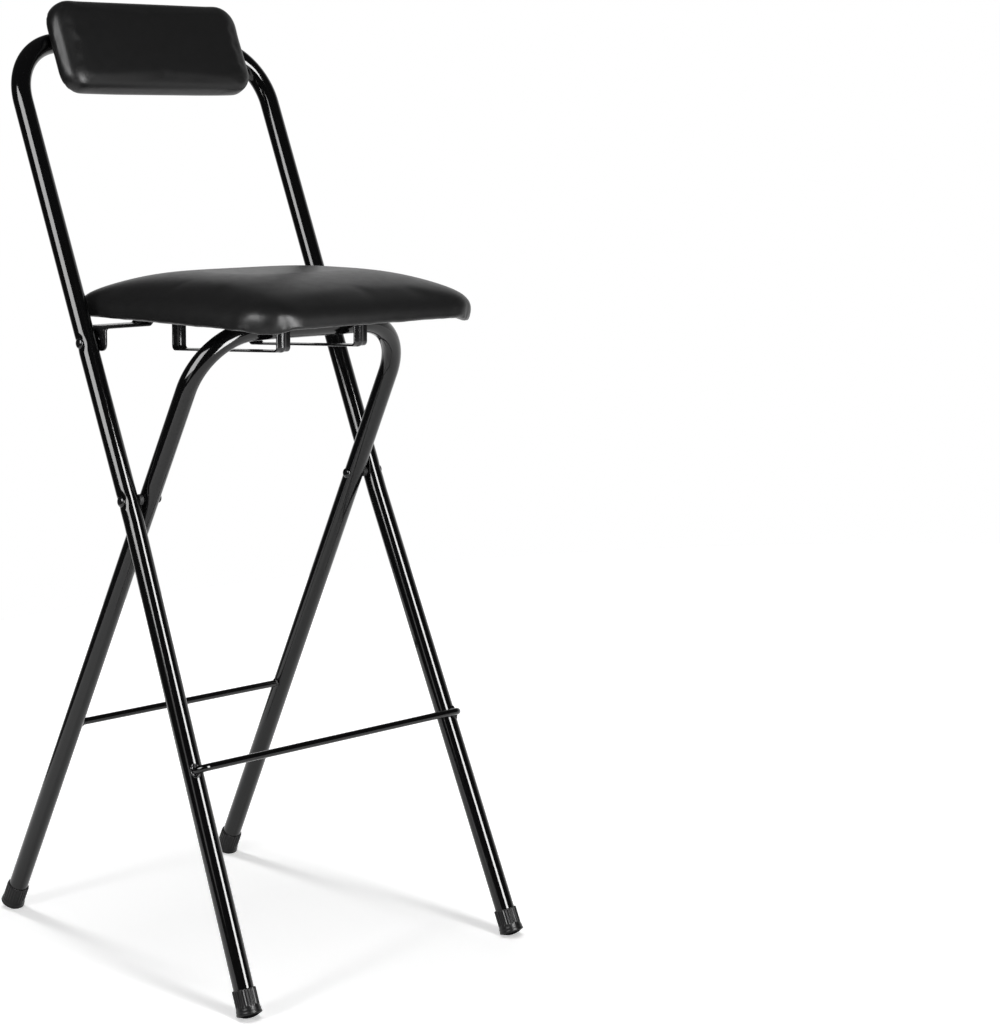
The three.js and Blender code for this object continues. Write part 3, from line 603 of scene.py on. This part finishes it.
def dome(seat, height):
    """Radius and height pairs from a small flat at a rivet head's tip to its rim."""
    angles = [math.pi / 2 * step / dome_steps for step in range(dome_steps + 1)]
    reach = rivet_head_radius
    return [(max(reach * math.sin(turn), rivet_tip), seat + height * math.cos(turn)) for turn in angles]


def rivet(name, inner, outer):
    """A rivet along its own Z, from the face under one head to the face under the other."""
    profile = [
        *dome(inner, -rivet_head_height), (rivet_radius, inner),
        (rivet_radius, outer), *reversed(dome(outer, rivet_head_height)),
    ]
    return turned(name, rivet_sides, profile)


def sleeve(name, radius, start, end, edge):
    """A short sleeve along its own Z with softened rims."""
    bore = rivet_radius + touch_gap
    profile = [
        (bore, start), (radius - edge, start), (radius, start + edge),
        (radius, end - edge), (radius - edge, end), (bore, end), (bore, start),
    ]
    return turned(name, rivet_sides, profile, hollow=True)


def drive_in(pin, collar, place, side):
    """Stands a rivet and the collar on it at a pivot, turned to the left or right."""
    for piece in (pin, collar):
        smooth(piece)
        stand(piece, place, Matrix.Rotation(side * math.pi / 2, 4, "Y"))


collar_end = back_inner_face - touch_gap
for word, side in both_sides:
    pin = rivet("scissor_rivet_pin_" + word, leg_inner_face - touch_gap, rivet_outer_seat)
    start = leg_outer_face + touch_gap
    collar = sleeve("scissor_sleeve_" + word, sleeve_radius, start, collar_end, sleeve_edge)
    drive_in(pin, collar, scissor_pivot, side)
    dress(pin, "back_frame", "rivet_steel", dark_steel, "scissor_rivet_" + word)
    dress(collar, "back_frame", "spacer_plastic", sleeve_plastic, "scissor_spacer_" + word)

# Seat board: thin plywood under the cushion, screwed to the guides and hinge brackets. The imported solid
# keeps its shape, and takes the look of the black cloth stapled to its underside.
black_backing = finish("black_board_backing", (0.011, 0.011, 0.011), 0.75)
add_grain(black_backing, 1400, 0.00005, blotch=0.05)
seat_pivot = joint_place["seat_fold"]
for node in ("seat_board", "backrest_board"):
    paint(frame["nodes"][node], black_backing)

# Seat cushion: foam on the board under one piece of black leatherette, pulled down over the edge and
# stapled under the board, so that its lower edge is wavy and its corners gather into small pleats.
rail_underside = crossbar_rise * math.cos(leg_lean) + tube_radius + touch_gap
rail_underside -= seat_pivot_rise * math.cos(back_lean)
strap_thickness = 0.002
board_underside = rail_underside + strap_thickness + touch_gap
board_thickness = 0.011
seat_half_width = 0.161
seat_front = 0.279
seat_rear = 0.061
seat_front_corner = 0.048
seat_rear_corner = 0.028
seat_bottom = board_underside - 0.0035
seat_block = 0.03
block_start = 0.001
block_edge = 0.0003
corner_steps = 10
seat_side_height = 0.012
seat_shoulder_width = 0.036
seat_shoulder_rise = 0.009
seat_crown = 0.028
seat_crown_across = 5.2
seat_crown_along = 3
seat_top = seat_bottom + 0.049
seat_voxel = 0.0045
seat_soft_from = seat_bottom + 0.006
seat_held_to = seat_bottom + 0.0006
seat_cap = 0.0012
foam_pressure = 4
foam_frames = 20
cover_stretch = 20
cover_bending = 2
seat_droop = 0.005
droop_height = 0.014
side_lip = 0.0036
front_lip = 0.001
lip_height = 0.010
lip_reach = 0.012
side_share = 8
wave_size = 0.0008
wave_grain = (34, 90)
corner_folds = (-0.021, 0.019)
fold_width = 0.007
fold_height = 0.010
fold_depth = 0.0007
chin_width = 0.012
chin_height = 0.007
chin_size = 0.0006
crease_spread = 0.006
seat_pleats = (26, 5)
pleat_height = 0.005
pleat_size = 0.0006
curl_height = 0.008
curl_size = 0.004
corner_reach = 0.02
board_inset = 0.009
rim_width = 0.024
grain_spacing = 0.0009


def rounded_panel(name, half_width, low, high, low_corner, high_corner, height):
    """A flat panel at a height of the XY plane, its corners rounded off in plan."""
    deselect_all()
    bpy.ops.mesh.primitive_plane_add(size=1, location=(0, (low + high) / 2, height))
    piece = bpy.context.object
    piece.name = name
    piece.scale = (2 * half_width, high - low, 1)
    bpy.ops.object.transform_apply()
    bpy.ops.object.mode_set(mode="EDIT")
    for corner, front in ((low_corner, True), (high_corner, False)):
        select_vertices(piece, lambda v: (v.co.y < (low + high) / 2) == front)
        bpy.ops.mesh.bevel(offset=corner, segments=corner_steps, affect="VERTICES")
    bpy.ops.mesh.select_all(action="SELECT")
    return piece


def select_vertices(piece, wanted):
    """Selects the vertices that are wanted, and the edges and faces between them."""
    bpy.ops.mesh.select_mode(type="VERT")
    bpy.ops.mesh.select_all(action="DESELECT")
    shell = bmesh.from_edit_mesh(piece.data)
    for vertex in shell.verts:
        vertex.select_set(wanted(vertex))
    shell.select_flush(True)
    bmesh.update_edit_mesh(piece.data)


def padded_block(piece, up_steps, down_steps):
    """Draws a panel up and down into a block, ring by ring, from pairs of inset and rise."""
    bpy.ops.mesh.extrude_region_move(TRANSFORM_OT_translate={"value": (0, 0, block_start)})
    for inset, rise in up_steps:
        bpy.ops.mesh.inset(thickness=inset, depth=rise)
    lowest = min(v.co.z for v in bmesh.from_edit_mesh(piece.data).verts)
    select_vertices(piece, lambda v: v.co.z < lowest + merge_distance)
    bpy.ops.mesh.normals_make_consistent(inside=False)
    for inset, rise in down_steps:
        bpy.ops.mesh.inset(thickness=inset, depth=rise)
    face_outwards()


def even_faces(piece, spacing):
    """Remakes a closed block in even square faces."""
    remesh = piece.modifiers.new("even", "REMESH")
    remesh.mode = "VOXEL"
    remesh.voxel_size = spacing
    finish_modifiers(piece)


def relax(piece, rounds, above):
    """Softens the steps that remeshing leaves, above a height."""
    group = piece.vertex_groups.new(name="soft")
    group.add([v.index for v in piece.data.vertices if v.co.z > above], 1.0, "REPLACE")
    soften = piece.modifiers.new("soften", "SMOOTH")
    soften.vertex_group = "soft"
    soften.iterations = rounds
    finish_modifiers(piece)
    piece.vertex_groups.clear()


def fill_with_foam(piece, held_to, furthest):
    """Swells a cushion with the cloth solver, pinned up to a height, and caps how far a point moves."""
    before = [v.co.copy() for v in piece.data.vertices]
    group = piece.vertex_groups.new(name="held")
    group.add([v.index for v in piece.data.vertices if v.co.z < held_to], 1.0, "REPLACE")
    cover = piece.modifiers.new("cover", "CLOTH")
    cover.settings.vertex_group_mass = "held"
    cover.settings.use_pressure = True
    cover.settings.uniform_pressure_force = foam_pressure
    cover.settings.effector_weights.gravity = 0
    cover.settings.tension_stiffness = cover_stretch
    cover.settings.compression_stiffness = cover_stretch
    cover.settings.bending_stiffness = cover_bending
    scene = bpy.context.scene
    for step in range(1, foam_frames + 1):
        scene.frame_set(step)
    finish_modifiers(piece)
    scene.frame_set(1)
    for vertex, start in zip(piece.data.vertices, before):
        move = vertex.co - start
        if move.length > furthest:
            vertex.co = start + move * (furthest / move.length)
    piece.vertex_groups.clear()


def round_off(piece):
    """Halves a cushion's faces and rounds them."""
    rounds = piece.modifiers.new("rounds", "SUBSURF")
    rounds.levels = 1
    rounds.render_levels = 1
    finish_modifiers(piece)


def outline_distance(x, y, half_width, low, high, low_corner, high_corner):
    """How far a point lies inside a rounded panel's outline, and its bearing round the nearest corner."""
    in_front = y < (low + high) / 2
    corner = low_corner if in_front else high_corner
    out_x = abs(x) - (half_width - corner)
    out_y = low + corner - y if in_front else y - (high - corner)
    if out_x > 0 and out_y > 0:
        return corner - math.hypot(out_x, out_y), math.atan2(out_y, out_x)
    return corner - max(out_x, out_y), None


def hump(at, width):
    """A smooth rise to 1 where at is 0, nearly gone two widths away."""
    return math.exp(-((at / width) ** 2))


def pleat(bearing, rate, sway):
    """The uneven rise and fall of leatherette that is gathered round a corner."""
    return math.sin(rate * bearing + 2 * math.sin(sway * bearing))


seat_plan = (seat_half_width, -seat_front, seat_rear, seat_front_corner, seat_rear_corner)
seat_middle = (seat_rear - seat_front) / 2
seat_half_depth = (seat_rear + seat_front) / 2
seat_cushion = rounded_panel("seat_cushion_cover", *seat_plan, seat_bottom)
padded_block(seat_cushion, ((block_edge, seat_block - block_start),), ())
even_faces(seat_cushion, seat_voxel)
for vertex in seat_cushion.data.vertices:
    place = vertex.co
    inside, bearing = outline_distance(place.x, place.y, *seat_plan)
    across_share = min(abs(place.x) / seat_half_width, 1)
    along_share = min(abs(place.y - seat_middle) / seat_half_depth, 1)
    over = 1 - min(max(inside / seat_shoulder_width, 0), 1)
    top = seat_side_height + seat_shoulder_rise * math.sqrt(1 - over**2)
    top += seat_crown * (1 - across_share**seat_crown_across) * (1 - along_share**seat_crown_along)
    place.z = seat_bottom + (place.z - seat_bottom) * top / seat_block
relax(seat_cushion, rounds=6, above=seat_soft_from)
fill_with_foam(seat_cushion, seat_held_to, seat_cap)
relax(seat_cushion, rounds=4, above=seat_soft_from)
round_off(seat_cushion)
for vertex in seat_cushion.data.vertices:
    place = vertex.co
    inside, bearing = outline_distance(place.x, place.y, *seat_plan)
    height = place.z - seat_bottom
    low_edge = hump(height, lip_height) * hump(max(inside, 0), lip_reach)
    spot = Vector((place.x, place.y, 0))
    wave = noise.noise(spot * wave_grain[0]) + 0.5 * noise.noise(spot * wave_grain[1])
    place.z += wave_size * wave * low_edge
    sideways = min(abs(place.x) / seat_half_width, 1) ** side_share
    place.z -= (front_lip + (side_lip - front_lip) * sideways) * low_edge
    if bearing is not None:
        corner = seat_front_corner if place.y < seat_middle else seat_rear_corner
        round_corner = (bearing - math.pi / 4) * corner
        mouth = math.sin(2 * bearing)
        folds = sum(hump(round_corner - at, fold_width) for at in corner_folds)
        tuck = folds * hump(height - fold_height, crease_spread)
        chin = hump(round_corner, chin_width) * hump(height - chin_height, crease_spread)
        pleats = pleat(bearing, *seat_pleats) * hump(height, pleat_height)
        push = pleat_size * pleats - fold_depth * tuck + chin_size * chin
        push -= curl_size * hump(height, curl_height)
        out = Vector((place.x, place.y - seat_middle, 0)).normalized()
        place += out * mouth * push * math.exp(-max(inside, 0) / corner_reach)
        place.z -= seat_droop * mouth**2 * hump(height, droop_height) * hump(inside, corner_reach)
    place.z = min(max(place.z, seat_bottom - seat_droop), seat_top)


def rounded_plate(name, plan, floor, ceiling):
    """A rounded panel drawn up into a plate with square edges."""
    piece = rounded_panel(name, *plan, floor)
    bpy.ops.mesh.extrude_region_move(TRANSFORM_OT_translate={"value": (0, 0, ceiling - floor)})
    face_outwards()
    return piece


def cut_away(piece, cutter):
    """Cuts the shape of one piece out of another and removes it."""
    hollow = piece.modifiers.new("hollow", "BOOLEAN")
    hollow.operation = "DIFFERENCE"
    hollow.object = cutter
    finish_modifiers(piece)
    bpy.data.objects.remove(cutter)


def cut_pocket(piece, plan, cuts):
    """Cuts flat-sided hollows into a cushion's underside, from triples of inset, floor and ceiling."""
    for inset, floor, ceiling in cuts:
        inwards = (-inset, inset, -inset, -inset, -inset)
        smaller = [size + shift for size, shift in zip(plan, inwards)]
        cut_away(piece, rounded_plate("pocket", smaller, floor, ceiling))


cut_pocket(seat_cushion, seat_plan, (
    (board_inset - touch_gap, board_underside - touch_gap, board_underside + board_thickness + touch_gap),
    (rim_width, board_underside - board_thickness, board_underside + board_thickness / 2),
))
leatherette = finish("black_leatherette", (0.008, 0.008, 0.0082), 0.38, mirror=0.25)
add_grain(leatherette, 1 / grain_spacing, 0.00006, cells=True, blotch=0.05)
smooth(seat_cushion, round_crease)
stand(seat_cushion, seat_pivot)
dress(seat_cushion, "seat", "cover", leatherette, "seat_cushion")

# Hinge brackets: pressed steel strips under the board's sides. Each has a foot screwed to the board, a
# joggle down to an arm that runs out past the cushion, and a round-cornered ear on the seat rivet.
bracket_thickness = 0.0025
bracket_width = 0.034
bracket_ear_drop = 0.009
bracket_ear_corner = 0.008
bracket_bend = 0.004
bracket_arm_length = 0.061
bracket_arm_drop = 0.015
bracket_joggle = 0.012
bracket_foot = 0.02
bracket_bend_steps = 6
joggle_steps = 5
washer_thickness = 0.0008
ear_middle = back_inner_face - washer_thickness - 2 * touch_gap - bracket_thickness / 2
arm_middle = board_underside - bracket_arm_drop
foot_middle = board_underside - touch_gap - bracket_thickness / 2
sheet_edge = 0.0004
pressed_black = finish("pressed_steel_black_paint", (0.01, 0.01, 0.011), 0.2)
add_grain(pressed_black, 380, 0.00005, blotch=0.04)


def start_strip(name, width, rows, length, at, heading):
    """The first length of a flat strip that is square to the XZ plane, its far end selected."""
    way = Vector((math.sin(heading), 0, math.cos(heading)))
    start = Vector((at[0], 0, at[1]))
    deselect_all()
    bpy.ops.mesh.primitive_grid_add(x_subdivisions=1, y_subdivisions=rows, size=1)
    piece = bpy.context.object
    piece.name = name
    piece.scale = (length, width, 1)
    piece.rotation_euler.y = heading - math.pi / 2
    piece.location = start + way * length / 2
    bpy.ops.object.transform_apply()
    bpy.ops.object.mode_set(mode="EDIT")
    select_vertices(piece, lambda v: (v.co - start).dot(way) > length / 2)
    end = start + way * length
    return {"at": Vector((end.x, end.z)), "heading": heading}


def soften_edges(piece, width, segments, sharper_than):
    """Rounds the edges of a piece that are sharper than an angle, and shades it."""
    edges = piece.modifiers.new("edges", "BEVEL")
    edges.width = width
    edges.segments = segments
    edges.limit_method = "ANGLE"
    edges.angle_limit = math.radians(sharper_than)
    finish_modifiers(piece)
    smooth(piece)


def pressed_from_sheet(piece, thickness):
    """Gives a strip its thickness and rounded edges."""
    bpy.ops.object.mode_set(mode="OBJECT")
    sheet = piece.modifiers.new("sheet", "SOLIDIFY")
    sheet.thickness = thickness
    sheet.offset = 0
    sheet.use_even_offset = True
    soften_edges(piece, sheet_edge, segments=2, sharper_than=60)


def copy_of(piece, name):
    """A copy with its own mesh."""
    copy = piece.copy()
    copy.data = piece.data.copy()
    copy.name = name
    bpy.context.scene.collection.objects.link(copy)
    return copy


def twin(piece, name):
    """A mirrored copy for the right side."""
    copy = copy_of(piece, name)
    stand(copy, (0, 0, 0), Matrix.Scale(-1, 4, (1, 0, 0)))
    open_whole(copy)
    face_outwards()
    return copy


def fit_pair(piece, twin_name, node):
    """Stands a piece and its twin under the seat, as left and right."""
    for word, part in (("left", piece), ("right", twin(piece, twin_name))):
        stand(part, seat_pivot)
        dress(part, "seat", "bracket_paint", pressed_black, node + word)


joggle_turn = math.atan2(foot_middle - arm_middle, bracket_joggle)
joggle_cut = bracket_bend * math.tan(joggle_turn / 2)
joggle_length = math.hypot(foot_middle - arm_middle, bracket_joggle)
ear_length = bracket_ear_drop + arm_middle - bracket_bend
run = start_strip("hinge_bracket_left", bracket_width, 1, ear_length, (-ear_middle, -bracket_ear_drop), 0)
run_round(run, math.pi / 2, bracket_bend, bracket_bend_steps)
run_straight(run, bracket_arm_length - bracket_bend - joggle_cut)
run_round(run, -joggle_turn, bracket_bend, joggle_steps)
run_straight(run, joggle_length - 2 * joggle_cut)
run_round(run, joggle_turn, bracket_bend, joggle_steps)
run_straight(run, bracket_foot - joggle_cut)
bracket = bpy.context.object
select_vertices(bracket, lambda v: v.co.z < -bracket_ear_drop + merge_distance)
bpy.ops.mesh.bevel(offset=bracket_ear_corner, segments=bracket_bend_steps, affect="VERTICES")
pressed_from_sheet(bracket, bracket_thickness)
fit_pair(bracket, "hinge_bracket_right", "seat_hinge_bracket_")

# Seat guides: steel strap loops with a bead pressed down their middle. The leg frame's crossbar slides
# between the rail against the board and the loop's bottom run, and the guides are screwed to the board.
guide_offset = 0.056
guide_width = 0.019
guide_rear = 0.006
guide_front = 0.183
guide_rear_bottom = -0.0137
guide_front_bottom = rail_underside - 0.0335
guide_foot = 0.016
guide_bend = 0.0045
guide_bend_steps = 8
bead_half_width = 0.003
bead_height = 0.0008
strap_rows = 14
rail_middle = rail_underside + strap_thickness / 2
run_slope = math.atan2(guide_front_bottom - guide_rear_bottom, guide_front - guide_rear)


def bead(piece):
    """Raises a rounded bead along the middle of a flat strap, on its outer side."""
    bpy.ops.object.mode_set(mode="OBJECT")
    outwards = [-vertex.normal for vertex in piece.data.vertices]
    for vertex, out in zip(piece.data.vertices, outwards):
        if abs(vertex.co.y) < bead_half_width:
            vertex.co += out * bead_height * math.cos(math.pi / 2 * vertex.co.y / bead_half_width)


rear_cut = guide_bend * math.tan((math.pi / 2 + run_slope) / 2)
front_cut = guide_bend * math.tan((math.pi / 2 - run_slope) / 2)
rail_start = (guide_rear - guide_foot, rail_middle)
rail_length = guide_front - guide_rear + 2 * guide_foot
start_strip("seat_guide_rail", guide_width, strap_rows, rail_length, rail_start, math.pi / 2)
rail = bpy.context.object
pressed_from_sheet(rail, strap_thickness)
rear_drop = rail_underside - guide_rear_bottom - rear_cut
strap_start = (guide_rear, rail_underside)
run = start_strip("seat_guide_strap", guide_width, strap_rows, rear_drop, strap_start, math.pi)
run_round(run, -(math.pi / 2 + run_slope), guide_bend, guide_bend_steps)
run_length = math.hypot(guide_front - guide_rear, guide_front_bottom - guide_rear_bottom)
run_straight(run, run_length - rear_cut - front_cut)
run_round(run, -(math.pi / 2 - run_slope), guide_bend, guide_bend_steps)
run_straight(run, rail_underside - guide_front_bottom - front_cut)
strap = bpy.context.object
bead(strap)
pressed_from_sheet(strap, strap_thickness)
pick(strap)
rail.select_set(True)
bpy.ops.object.join()
forwards = Matrix.Rotation(-math.pi / 2, 4, "Z")
stand(strap, (-guide_offset, 0, 0), forwards)
strap.name = "seat_guide_left_loop"
fit_pair(strap, "seat_guide_right_loop", "seat_guide_")

# Seat screws: zinc plated pan head screws with a cross recess, two in each bracket foot and one in each
# end of a guide's rail, all driven up into the board.
screw_radius = 0.002
screw_length = 0.008
screw_head_radius = 0.004
screw_head_height = 0.0018
screw_taper = 0.002
screw_tip_radius = 0.0006
screw_sides = 24
screw_crease = 30
screw_shift = 0.001
screw_turns = (40, 30)
recess_length = 0.0046
recess_width = 0.0009
recess_depth = 0.0011
zinc = finish("bright_zinc_plate", (0.72, 0.73, 0.75), 0.2, 1.0)
add_grain(zinc, 600, 0.00002, blotch=0.06)


def pan_head_screw(name):
    """A screw driven along +Z, its head under z = 0."""
    screw = turned(name, screw_sides, [
        (0.0008, -screw_head_height), (screw_head_radius * 0.45, -screw_head_height * 0.97),
        (screw_head_radius * 0.75, -screw_head_height * 0.8),
        (screw_head_radius * 0.93, -screw_head_height * 0.5),
        (screw_head_radius, -screw_head_height * 0.2), (screw_head_radius, 0),
        (screw_radius, 0), (screw_radius, screw_length - screw_taper), (screw_tip_radius, screw_length),
    ])
    for turn in (0, math.pi / 2):
        deselect_all()
        bpy.ops.mesh.primitive_cube_add(size=1, location=(0, 0, -screw_head_height), rotation=(0, 0, turn))
        blade = bpy.context.object
        blade.scale = (recess_length, recess_width, 2 * recess_depth)
        cut_away(screw, blade)
    smooth(screw, screw_crease)
    return screw


pattern_screw = pan_head_screw("tab_screw")
bracket_under = foot_middle - bracket_thickness / 2
bracket_screw_x = ear_middle - bracket_arm_length - bracket_joggle - bracket_foot / 2
screw_places = (
    ("bracket_screw_rear", bracket_screw_x, bracket_width / 4, bracket_under),
    ("bracket_screw_front", bracket_screw_x, -bracket_width / 4, bracket_under),
    ("guide_screw_rear", guide_offset, guide_foot / 2 - guide_rear + screw_shift, rail_underside),
    ("guide_screw_front", guide_offset, -guide_front - screw_shift - guide_foot / 2, rail_underside),
)
for use, x, y, under in screw_places:
    for word, side in both_sides:
        screw = copy_of(pattern_screw, f"{use}_{word}_pan_head")
        place = seat_pivot + Vector((side * x, y, under - touch_gap))
        turn = side * x * screw_turns[0] + y * screw_turns[1]
        stand(screw, place, Matrix.Rotation(turn, 4, "Z"))
        dress(screw, "seat", "bright_steel", zinc, f"{use}_{word}")

# Seat rivets: the same domed rivets as at the scissor pivots, through the tube, a thin washer and the
# bracket's ear.
washer_radius = 0.008
washer_edge = 0.0002
ear_inner_face = ear_middle - bracket_thickness / 2
for word, side in both_sides:
    pin = rivet("seat_rivet_pin_" + word, ear_inner_face - touch_gap, rivet_outer_seat)
    start = collar_end - washer_thickness
    washer = sleeve("seat_rivet_washer_" + word, washer_radius, start, collar_end, washer_edge)
    drive_in(pin, washer, seat_pivot, side)
    dress(pin, "back_frame", "rivet_steel", dark_steel, "seat_rivet_" + word)
    dress(washer, "back_frame", "rivet_steel", dark_steel, "seat_washer_" + word)

# Backrest pad: foam on a thin board under leatherette, on the front of the crossbar. At its back the
# leatherette is folded over the board's edge and stapled down in a flat wavy border.
back_half = 0.133
back_half_high = 0.0547
back_low_corner = 0.024
back_high_corner = 0.028
back_drop = 0.0143
pad_back = tube_radius + touch_gap
pad_full_height = 0.005
pad_front = pad_back + 0.029
pad_crown = 0.0016
pad_crown_across = 4
pad_crown_along = 2
pad_crown_from = 0.012
pad_voxel = 0.0025
pad_soft_from = pad_back + 0.004
pad_held_to = pad_back + 0.0008
pad_cap = 0.001
pad_rim_width = 0.019
pad_rim_thickness = 0.0012
pad_board_thickness = 0.008
pad_board_inset = 0.0055
crease_inset = 0.0125
crease_width = 0.0011
crease_size = 0.0009
border_reach = pad_rim_width + 0.002
border_size = 0.0005
border_grain = 260
pad_pleats = (22, 4)
back_pleat_size = 0.0007
back_pleat_reach = 0.004
back_face_depth = 0.006
back_face_fade = 0.004
back_bulge = 0.0002
pad_plan = (back_half, -back_half_high, back_half_high, back_low_corner, back_high_corner)
backrest_place = frame_point(back_turn, 0, back_height - back_drop)
pad = rounded_panel("backrest_pad_cover", *pad_plan, pad_back + pad_full_height)
padded_block(
    pad,
    ((block_edge, 0.0080), (0.0009, 0.0040), (0.0022, 0.0035), (0.0045, 0.0028), (0.0060, 0.0012)),
    ((0.0010, 0.0030), (0.0024, 0.0018)),
)
even_faces(pad, pad_voxel)
for vertex in pad.data.vertices:
    place = vertex.co
    across_share = min(abs(place.x) / back_half, 1)
    along_share = min(abs(place.y) / back_half_high, 1)
    rise = (1 - across_share**pad_crown_across) * (1 - along_share**pad_crown_along)
    lift = min(max((place.z - pad_back - pad_full_height) / pad_crown_from, 0), 1)
    place.z += pad_crown * rise * lift
relax(pad, rounds=5, above=pad_back)
fill_with_foam(pad, pad_held_to, pad_cap)
relax(pad, rounds=6, above=pad_soft_from)
round_off(pad)
for vertex in pad.data.vertices:
    place = vertex.co
    inside, bearing = outline_distance(place.x, place.y, *pad_plan)
    depth = place.z - pad_back
    if depth < back_face_depth:
        back_face = hump(depth, back_face_fade)
        crease = hump(inside - crease_inset, crease_width)
        border = 1 if crease_inset < inside < border_reach else 0
        ripple = noise.noise(Vector((place.x, place.y, 0)) * border_grain)
        place.z += back_face * (crease_size * crease + border_size * border * ripple)
        if bearing is not None:
            pleats = pleat(bearing, *pad_pleats) * math.sin(2 * bearing)
            place.z += back_pleat_size * back_face * pleats * min(inside / back_pleat_reach, 1)
    place.z = min(max(place.z, pad_back - back_bulge), pad_front)
pad_board_back = pad_back + pad_rim_thickness + touch_gap
pad_board_front = pad_board_back + pad_board_thickness
cut_pocket(pad, pad_plan, (
    (pad_board_inset - touch_gap, pad_board_back - touch_gap, pad_board_front + touch_gap),
    (pad_rim_width, pad_board_back - back_face_depth, pad_board_front - pad_board_thickness / 2),
))
smooth(pad, round_crease)
stand(pad, backrest_place, facing_front)
dress(pad, "back_frame", "cover", leatherette, "backrest_pad")

# Backrest tab: a small round-ended steel plate welded under the middle of the crossbar, with one bright
# screw through it into the board.
tab_half_width = 0.011
tab_thickness = 0.002
tab_top = 0.0048
tab_bottom = 0.044
tab_corner = 0.008
tab_top_corner = 0.002
tab_edge = 0.0006
tab_weld_half = (0.0048, 0.003)
tab_weld_bead = 0.0022
tab_weld_back = 0.004
tab_weld_seed = 5
tab_screw_drop = 0.032
tab_front = pad_board_back - touch_gap
tab_plan = (tab_half_width, back_drop - tab_bottom, back_drop - tab_top, tab_corner, tab_top_corner)
tab = rounded_plate("backrest_tab_plate", tab_plan, tab_front - tab_thickness, tab_front)
soften_edges(tab, tab_edge, segments=3, sharper_than=30)
stand(tab, backrest_place, facing_front)
paint_black(tab, "back_frame", "backrest_tab")
tab_weld = weld_collar("backrest_tab_weld", tab_weld_seed, *tab_weld_half, tab_weld_bead, lambda x, y: 0)
weld_drop = back_drop - tube_radius - tab_thickness
weld_place = Matrix.Translation((0, weld_drop, tab_front - tab_weld_back))
stand(tab_weld, backrest_place, facing_front @ weld_place)
paint_black(tab_weld, "back_frame")
under_tab = tab_front - tab_thickness - touch_gap
screw_place = Matrix.Translation((0, back_drop - tab_screw_drop, under_tab))
stand(pattern_screw, backrest_place, facing_front @ screw_place)
dress(pattern_screw, "back_frame", "bright_steel", zinc, "backrest_tab_screw")

# Backrest nuts and bolts: two bolts run from inside the pad through the crossbar, and bright round nuts
# close on them in shallow hollows at its back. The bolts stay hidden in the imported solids.
nut_sides = 40
nut_seat = tube_radius - press_depth
nut_profile = [
    (0.0030, 0.0000), (0.0054, 0.0000), (0.0057, 0.0005), (0.0057, 0.0038),
    (0.0053, 0.0050), (0.0044, 0.0055), (0.0037, 0.0052), (0.0034, 0.0042),
    (0.0029, 0.0041), (0.0027, 0.0056), (0.0019, 0.0065), (0.0008, 0.0068),
]
for word, side in both_sides:
    nut = turned("backrest_nut_cap_" + word, nut_sides, nut_profile)
    smooth(nut)
    behind = Matrix.Translation((side * bolt_spacing / 2, back_drop, -nut_seat))
    stand(nut, backrest_place, facing_front @ behind @ Matrix.Rotation(math.pi, 4, "Y"))
    dress(nut, "back_frame", "bright_steel", zinc, "backrest_nut_" + word)
    paint(frame["nodes"]["backrest_bolt_" + word], zinc)
